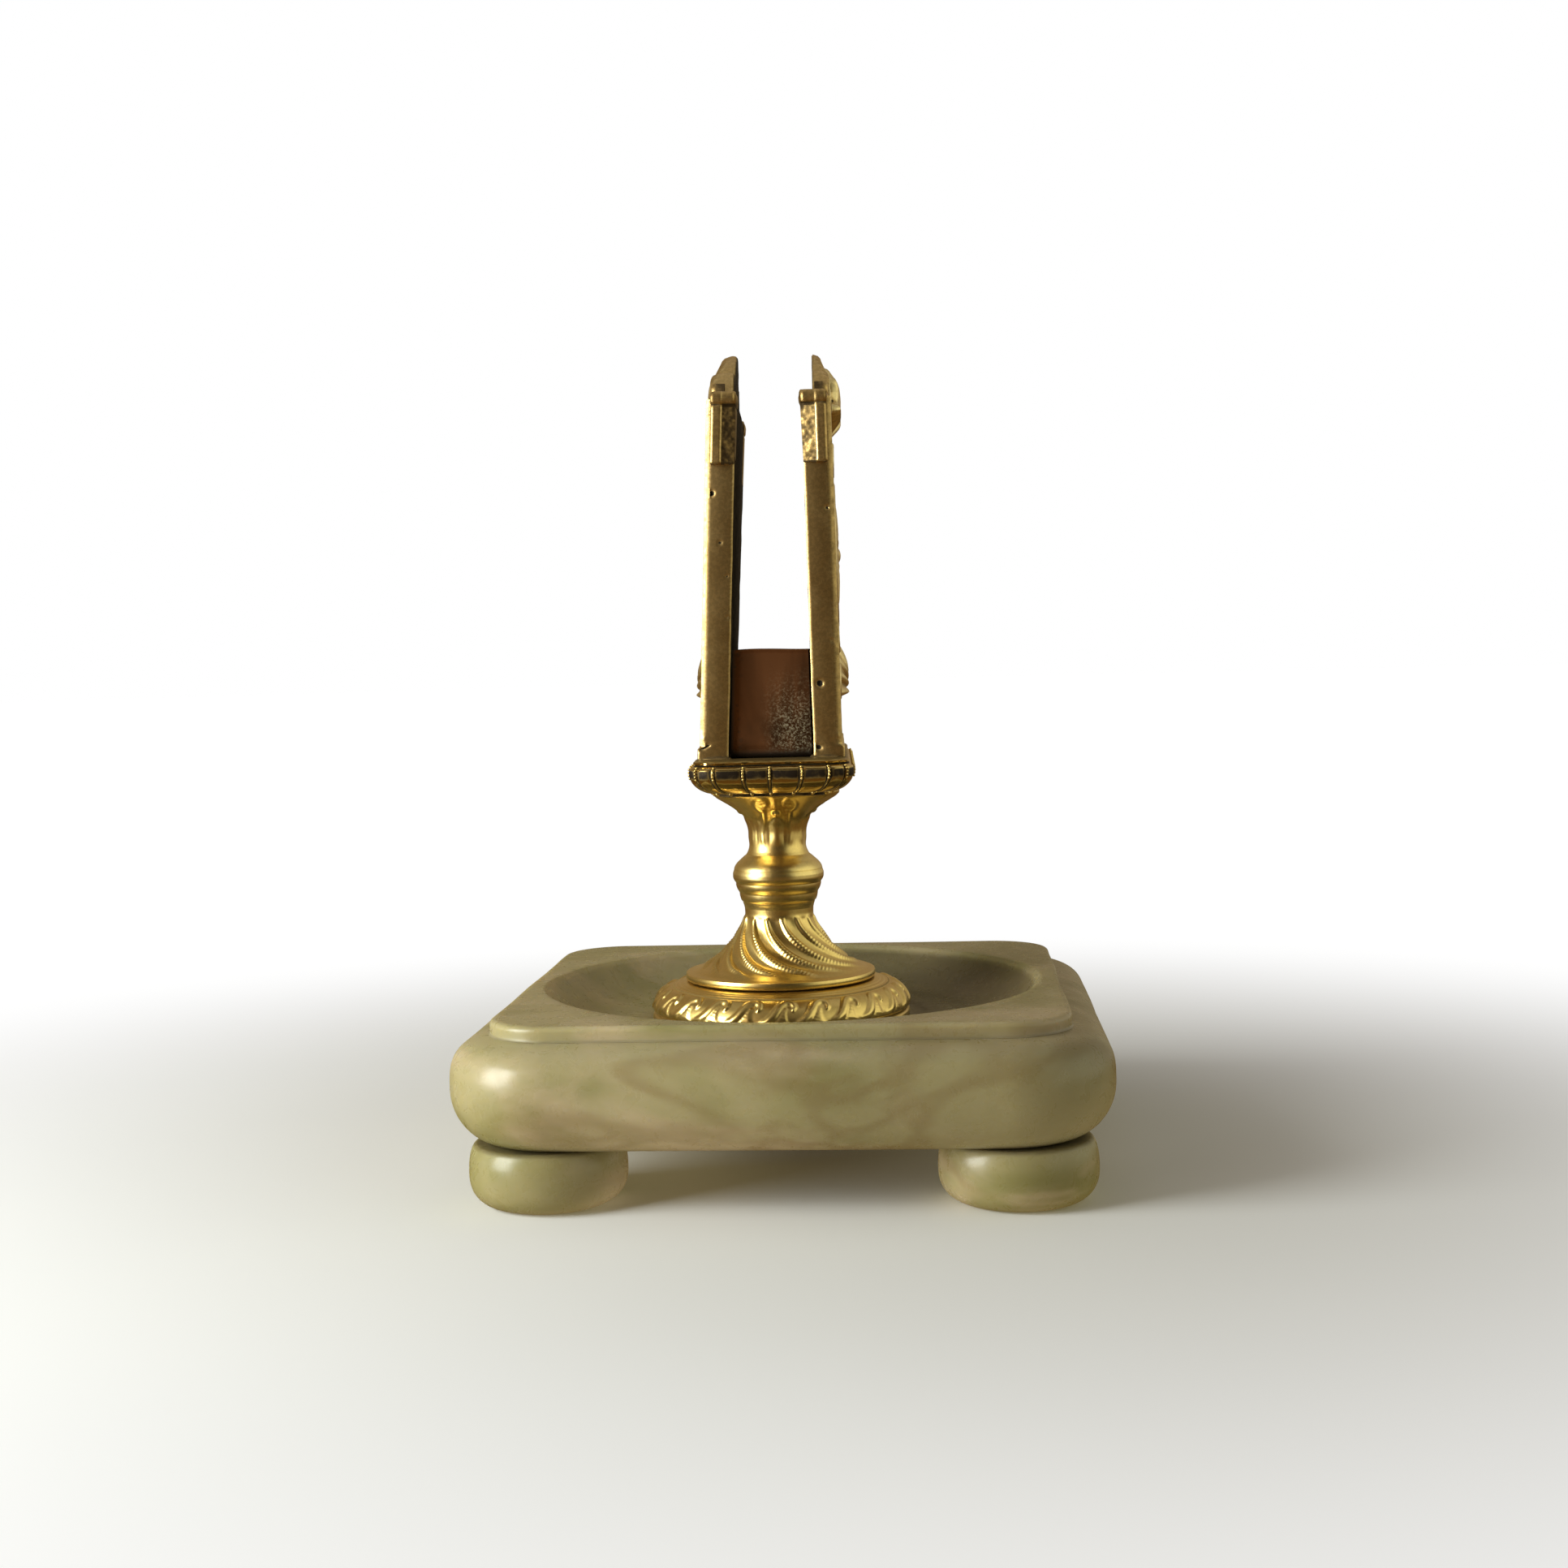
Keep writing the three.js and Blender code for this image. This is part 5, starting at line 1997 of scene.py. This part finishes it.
    def volute(self) -> Shell:
        """A small rolled end with an eye, where the crest's scroll meets each ear.

        Returns:
            The shell.
        """
        shell = Shell()
        for end in (-1, 1):
            rows = []
            for radius, out in ((0.02, 4.3), (0.28, 4.25), (0.42, 4.75), (0.75, 4.95), (1.2, 4.85),
                (1.5, 4.5), (1.6, 3.9), (1.55, 2.4)):
                angle = np.linspace(0, FULL_TURN, 28, endpoint=False)
                y = end * 19.2 + radius * np.cos(angle)
                rows.append(self.standing(np.full(28, out), y, 146.9 + radius * 1.05 * np.sin(angle)))
            relief = np.array([-1, -0.9, 0.3, 0.7, 0.4, 0.0, -0.5, -0.8])[:, None]
            shell.grid(np.stack(rows), relief, 0.0, round_columns=True)
        return shell

    def build(self, finishes: Finishes) -> None:
        """Makes the plate, its ears and its volutes.

        Args:
            finishes: The object's finishes.
        """
        word = self.side.name.lower()
        name = f"cast_plate_{word}"
        shell = self.faces()
        piece(name, finished(shell.mesh(name), sharp=48), Body.HOLDER, Slot.CAST, finishes.cast,
            f"side_plate_{word}")
        for end, where in ((-1, "near"), (1, "far")):
            label = f"plate_ear_{word}_{where}"
            piece(label, finished(self.ear(end).mesh(label), sharp=55), Body.HOLDER, Slot.CAST,
                finishes.rough)
        label = f"crest_volutes_{word}"
        piece(label, finished(self.volute().mesh(label), sharp=60), Body.HOLDER, Slot.CAST, finishes.rough)
        self.build_braze(finishes, word)

    def build_braze(self, finishes: Finishes, word: str) -> None:
        """The lumpy run of braze between the plate's foot and the tray.

        Args:
            finishes: The object's finishes.
            word: The side's name.
        """
        angle = np.linspace(0, FULL_TURN, 14, endpoint=False)
        y = np.linspace(-29.6, 29.6, 200)
        centre = self.standing(np.full_like(y, self.thickness / 2), y, np.full_like(y, 79.15))
        lump = 1 + 0.35 * Unevenness(70 + self.side.value).at(np.stack([y, 0 * y, 0 * y], -1), 1.7)
        taper = np.sqrt(np.clip(1 - (np.abs(y) / 29.65) ** 40, 0, 1))
        rows = []
        for k in angle:
            across = (self.thickness / 2 + 0.55) * np.cos(k) * lump**0.4 * (0.75 + 0.25 * taper)
            up = 0.62 * np.sin(k) * lump * taper
            offset = np.stack([across * math.cos(self.turn), across * math.sin(self.turn), up], -1)
            rows.append(centre + offset)
        shell = Shell()
        grid = np.stack(rows, 1)
        shell.grid(grid, (Unevenness(75).at(grid, 0.8) * 0.8) - 0.3, 0.8, round_columns=True)
        for index in (0, -1):
            shell.cap(grid[index], -0.3, 0.4)
        label = f"braze_run_{word}"
        piece(label, finished(shell.mesh(label), sharp=60), Body.HOLDER, Slot.CAST, finishes.rough)


# ---------------------------------------------------------------- the pocket and the fixings


@dataclass
class PocketLiner(Stem):
    """A strip of copper sheet, folded up at both ends into low walls with rolled lips."""

    left: SidePlate = field(default_factory=SidePlate)
    right: SidePlate = field(default_factory=SidePlate)
    half_length: float = 27.6
    sheet: float = 0.8
    bottom: float = TRAY_TOP
    top: float = 99.1

    def build(self, finishes: Finishes) -> None:
        """Makes the strip.

        Args:
            finishes: The object's finishes.
        """
        h, t, low, top = self.half_length, self.sheet, self.bottom, self.top
        lip = [(h - 0.15, top - 0.55), (h + 0.05, top - 0.35), (h + 0.05, top - 0.1), (h - 0.12, top),
            (h - 0.55, top),
               (h - 0.85, top - 0.1), (h - 0.9, top - 0.4), (h - t, top - 0.7)]
        side = [(h - 1.2, low), (h - 0.5, low + 0.1), (h - 0.1, low + 0.5), (h, low + 1.2)] + lip
        side += [(h - t, low + 2.0), (h - t - 0.3, low + t + 0.4), (h - t - 0.9, low + t)]
        loop = side + [(-y, z) for y, z in reversed(side)]
        line = fine_line(loop + loop[:1], 0.35)[:-1]
        y, z = line[None, :, 0], line[None, :, 1]
        share = np.linspace(0, 1, 42)[:, None]
        left = 0.30 - self.left.inner_x(y, z)
        right = self.right.inner_x(y, z) - 0.36
        wave = 0.16 * Unevenness(81).at(np.stack([share * 12 + 0 * y, y + 0 * share, z + 0 * share], -1),
            5.5)
        x = left + (right - left) * share
        upright = (z > low + 2) & (z < top - 1)
        yy = y + wave * upright * np.sign(y)
        zz = z + (np.abs(y) > h - 1) * (z > top - 1.2) * 0.12 * np.sin(share * 5.0)
        rows = self.placed(np.stack(np.broadcast_arrays(x, yy, zz), -1))
        edge = np.minimum(share, 1 - share)
        # Painted shadow, carried as grime: black in a band at the foot of the walls and along the edge
        # against the left plate, fainter against the right plate, and on the filled edge faces.
        dirt = 0.9 * ease(0.06, 0.0, share) + 0.4 * ease(0.97, 1.0, share) + 1.0 * ease(low + 2.0, low
            + 0.6, z) * (edge > -1)
        shell = Shell()
        shell.grid(rows, 0.0, np.clip(dirt, 0, 1), round_columns=True)
        for index in (0, -1):
            strip = rows[index]
            half = len(strip) // 2
            pair = np.stack([strip, np.roll(strip, 0, 0)])
            shell.grid(pair[:, :half], 0.0, 1.0)
        mesh = shell.mesh("copper_pocket")
        work = bmesh.new()
        work.from_mesh(mesh)
        bmesh.ops.remove_doubles(work, verts=work.verts, dist=1e-6)
        open_edges = [e for e in work.edges if e.is_boundary]
        bmesh.ops.holes_fill(work, edges=open_edges, sides=0)
        work.to_mesh(mesh)
        work.free()
        piece("copper_pocket", finished(mesh, sharp=50), Body.HOLDER, Slot.COPPER, finishes.copper,
            "pocket_liner")


@dataclass
class Fixings(Stem):
    """The rod's threaded end, its nut and washers in the counterbore, and the feet's pins."""

    rod_radius: float = 2.9
    pitch: float = 1.0
    nut_flats: float = 10.0

    def washer(self, outer: float, low: float, high: float) -> Shell:
        """A flat washer with softened edges.

        Args:
            outer: Its radius.
            low: Its lower face.
            high: Its upper face.

        Returns:
            The shell.
        """
        soft = 0.15
        line = [(self.bore, low), (outer - soft, low), (outer, low + soft), (outer, high - soft),
            (outer - soft, high),
                (self.bore, high), (self.bore, low)]
        shell = Shell()
        shell.grid(Cell(1, 72, fine_line(line, 0.8)).raised(0.0), 0.0, 0.15)
        return shell

    def nut(self) -> Shell:
        """A hexagonal nut with chamfered corners.

        Returns:
            The shell.
        """
        angle = np.linspace(0, FULL_TURN, 96, endpoint=False)
        flat = (angle + math.pi / 6) % (math.pi / 3) - math.pi / 6
        reach = self.nut_flats / 2 / np.cos(flat)
        low, high = 12.6, 16.2
        rows = [np.stack([np.full(96, self.bore), np.full(96, low)], 1),
            np.stack([np.full(96, 4.6), np.full(96, low)], 1)]
        for share in (0.0, 0.5, 1.0):
            rim = 4.85 + (reach - 4.85) * share
            rows.append(np.stack([np.minimum(reach, rim), low + (rim - 4.85) * 0.55 + 0 * angle], 1))
        rows += [np.stack([reach, np.full(96, high - 0.1)], 1),
            np.stack([reach - 0.1, np.full(96, high)], 1),
                 np.stack([np.full(96, self.bore), np.full(96, high)], 1),
                 np.stack([np.full(96, self.bore), np.full(96, low)], 1)]
        grid = np.stack([np.stack([r[:, 0] * np.cos(angle), r[:, 0] * np.sin(angle), r[:, 1]],
            1) for r in rows])
        shell = Shell()
        shell.grid(grid, 0.0, 0.2, round_columns=True)
        return shell

    def threaded_rod(self) -> Shell:
        """The tie rod, threaded where it shows and plain inside the stem.

        Returns:
            The shell.
        """
        angle = np.linspace(0, FULL_TURN, 48, endpoint=False)
        rows = [np.column_stack([0 * angle, 0 * angle, 11.9 + 0 * angle])]
        for z in np.concatenate([np.linspace(11.9, 19.9, 97), [20.2, 76.2, 76.4]]):
            threaded = float(ease(20.0, 19.6, z) * ease(11.9, 12.5, z))
            phase = ((z / self.pitch) - angle / FULL_TURN) % 1
            radius = self.rod_radius - 0.45 * threaded * np.abs(2 * phase
                - 1) - 0.3 * float(ease(12.3, 11.9, z))
            rows.append(np.column_stack([radius * np.cos(angle), radius * np.sin(angle), z + 0 * angle]))
        rows.append(np.column_stack([0 * angle, 0 * angle, 76.4 + 0 * angle]))
        shell = Shell()
        shell.grid(np.stack(rows), 0.0, 0.15, round_columns=True)
        return shell

    def build(self, finishes: Finishes) -> None:
        """Makes the fixings, and gives the pins their steel.

        Args:
            finishes: The object's finishes.
        """
        made = (
            ("turned_steel_washer", self.washer(8.5, 16.3, 17.4), Body.HOLDER, Slot.STEEL, finishes.steel,
                "steel_washer"),
            ("hexagon_nut", self.nut(), Body.HOLDER, Slot.STEEL, finishes.steel, "clamp_nut"),
            ("threaded_tie_rod", self.threaded_rod(), Body.HOLDER, Slot.STEEL, finishes.steel, "tie_rod"),
            ("soft_fibre_washer", self.washer(9.5, 17.5, 18.5), Body.DISH, Slot.FIBRE, finishes.fibre,
                "fibre_washer"),
        )
        for name, shell, body, slot, material, node in made:
            shell.points = [self.placed(p) for p in shell.points]
            piece(name, finished(shell.mesh(name), sharp=28), body, slot, material, node)
        for node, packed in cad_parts.items():
            if node.startswith("foot_pin"):
                packed.data.materials.clear()
                packed.data.materials.append(finishes.steel)
                log.info("%s: keeps its packed shape", node)


# ---------------------------------------------------------------- light, floor and camera


@dataclass
class Studio:
    """A pale floor, a large soft light at the left and a room tuned to this object.

    The room isn't one plain light. The camera sees white, matt surfaces get a light of their own with
    a lift from below, and reflections see bands of light and dark by direction over a brown table.
    """

    eye: Colour = (0.0290165, -0.4175701, 0.0990436)
    ahead: Colour = (-0.0712, 0.99544664, -0.06337628)
    roll: float = math.radians(-1.39)
    lens: float = 48.828
    key_place: Colour = (-0.40, -0.24, 0.17)
    key_size: tuple[float, float] = (0.24, 0.32)
    key_power: float = 2.9
    room: tuple[tuple[float, Colour], ...] = (
        (0.0, (0.34, 0.25, 0.14)),
        (0.19, (0.24, 0.17, 0.09)),
        (0.25, (0.60, 0.55, 0.44)),
        (0.37, (0.95, 0.78, 0.52)),
        (0.42, (0.42, 0.21, 0.07)),
        (0.45, (0.030, 0.019, 0.009)),
        (0.595, (0.030, 0.021, 0.010)),
        (0.645, (0.95, 0.95, 0.72)),
        (0.76, (1.10, 1.10, 0.85)),
        (0.88, (0.48, 0.43, 0.32)),
        (1.0, (0.34, 0.25, 0.14)),
    )
    above: Colour = (0.20, 0.175, 0.14)
    table: Colour = (0.15, 0.085, 0.028)
    bounce: Colour = (0.62, 0.57, 0.44)

    def camera(self) -> None:
        """Sets the camera up."""
        ahead = Vector(self.ahead).normalized()
        right = ahead.cross(Vector((0, 0, 1))).normalized()
        up = right.cross(ahead)
        c, s = math.cos(self.roll), math.sin(self.roll)
        right, up = c * right + s * up, -s * right + c * up
        data = bpy.data.cameras.new("camera")
        data.lens, data.sensor_width = self.lens, 36.0
        data.clip_start, data.clip_end = 0.01, 50.0
        made = bpy.data.objects.new("camera", data)
        bpy.context.scene.collection.objects.link(made)
        made.matrix_world = Matrix(
            [[right[k], up[k], -ahead[k], self.eye[k]] for k in range(3)] + [[0, 0, 0, 1]]
        )
        bpy.context.scene.camera = made

    def world(self) -> None:
        """Makes the room, which differs for camera, matt surfaces and reflections."""
        world = bpy.data.worlds.new("room")
        world.use_nodes = True
        bpy.context.scene.world = world
        s = Shader(world.node_tree)
        way = s.node("SeparateXYZ", {0: s.node("TexCoord").outputs["Generated"]})
        x, y, z = way.outputs
        bearing = s.math("ARCTAN2", x, s.math("MULTIPLY", y, -1.0))
        ramp = s.node("ValToRGB", {0: s.math("ADD", s.math("DIVIDE", bearing, FULL_TURN), 0.5)})
        ramp.color_ramp.interpolation = "EASE"
        points = ramp.color_ramp.elements
        points[0].position, points[1].position = self.room[0][0], self.room[-1][0]
        points[0].color, points[1].color = (*self.room[0][1], 1), (*self.room[-1][1], 1)
        for place, colour in self.room[1:-1]:
            points.new(place).color = (*colour, 1)
        sky = s.mix(s.span(z, 0.45, 0.95), ramp.outputs[0], self.above)
        around = s.mix(s.span(z, 0.02, -0.16), sky, self.table)
        path = s.node("LightPath")
        soft = s.mix(s.span(z, 0.02, -0.16), s.mix(0.5, sky, (0.0, 0.0, 0.0)), self.bounce)
        lit = s.mix(path.outputs["Is Diffuse Ray"], around, soft)
        colour = s.mix(path.outputs["Is Camera Ray"], lit, (1.0, 1.0, 1.0))
        background = world.node_tree.nodes["Background"]
        world.node_tree.links.new(colour, background.inputs["Color"])

    def lamp(self, name: str, place: Colour, size: tuple[float, float], power: float,
        colour: Colour) -> None:
        """Adds a soft square light that faces the object.

        Args:
            name: The lamp's name.
            place: Where it hangs.
            size: Its two sides, in metres.
            power: Its power in watts.
            colour: Its colour.
        """
        data = bpy.data.lights.new(name, "AREA")
        data.shape, data.size, data.size_y = "RECTANGLE", *size
        data.energy, data.color = power, colour
        made = bpy.data.objects.new(name, data)
        bpy.context.scene.collection.objects.link(made)
        made.location = place
        made.rotation_euler = (Vector((0, 0, 0.06)) - Vector(place)).to_track_quat("-Z", "Y").to_euler()

    def floor(self) -> None:
        """Lays the pale floor, which reflections and bounced light miss, and which fades to a white glow."""
        angle = np.linspace(0, FULL_TURN, 96, endpoint=False)
        rows = np.stack([np.column_stack([r * np.cos(angle), r * np.sin(angle), 0 * angle]) for r in (0.0,
            200.0, 6000.0)])
        shell = Shell()
        shell.grid(rows, round_columns=True)
        mesh = shell.mesh("pale_floor")
        work = bmesh.new()
        work.from_mesh(mesh)
        bmesh.ops.remove_doubles(work, verts=work.verts, dist=1e-6)
        work.to_mesh(mesh)
        work.free()
        material, s, shader = new_material("matt_paper")
        tone = s.noise(s.place(), 6.0, 2.0)
        paper = s.mix(s.span(tone, 0.3, 0.7), (0.93, 0.93, 0.93), (0.96, 0.96, 0.96))
        reach = s.node("VectorMath", {0: s.place()}, operation="LENGTH").outputs["Value"]
        far = s.span(reach, 0.06, 0.32)
        s.tree.links.new(s.mix(far, paper, (0.0, 0.0, 0.0)), shader.inputs["Base Color"])
        s.tree.links.new(s.mix(far, (0.0, 0.0, 0.0), (1.0, 1.0, 1.0)), shader.inputs["Emission Color"])
        shader.inputs["Emission Strength"].default_value = 1.0
        shader.inputs["Roughness"].default_value = 0.95
        shader.inputs["Specular IOR Level"].default_value = 0.1
        mesh.materials.append(material)
        made = bpy.data.objects.new("pale_floor", mesh)
        bpy.context.scene.collection.objects.link(made)
        made.visible_glossy = made.visible_diffuse = False

    def build(self) -> None:
        """Sets up camera, room, lights and floor."""
        bpy.context.scene.view_settings.view_transform = "Standard"
        self.camera()
        self.world()
        self.lamp("window_left", self.key_place, self.key_size, self.key_power, (0.96, 1.0, 0.96))
        self.lamp("soft_above", (0.05, 0.10, 0.75), (0.7, 0.7), 0.35, (1.0, 0.98, 0.94))
        self.floor()


def main() -> None:
    """Builds the whole object in order."""
    finishes = Finishes()
    ring, beads = repeated_round_axis(), beads_along_lines()
    OnyxDish().build(finishes)
    BunFeet().build(finishes)
    WaveRing().build(finishes, ring)
    SpiralFoot().build(finishes, ring)
    RingedKnop().build(finishes, ring)
    AcanthusNeck().build(finishes, ring)
    GadroonedTray().build(finishes, beads)
    left = SidePlate(side=Side.LEFT)
    right = SidePlate(side=Side.RIGHT, foot_near=7.85, foot_far=7.85, top_near=7.05, top_far=7.05)
    left.build(finishes)
    right.build(finishes)
    PocketLiner(left=left, right=right).build(finishes)
    Fixings().build(finishes)
    Studio().build()


if __name__ == "__main__":
    main()
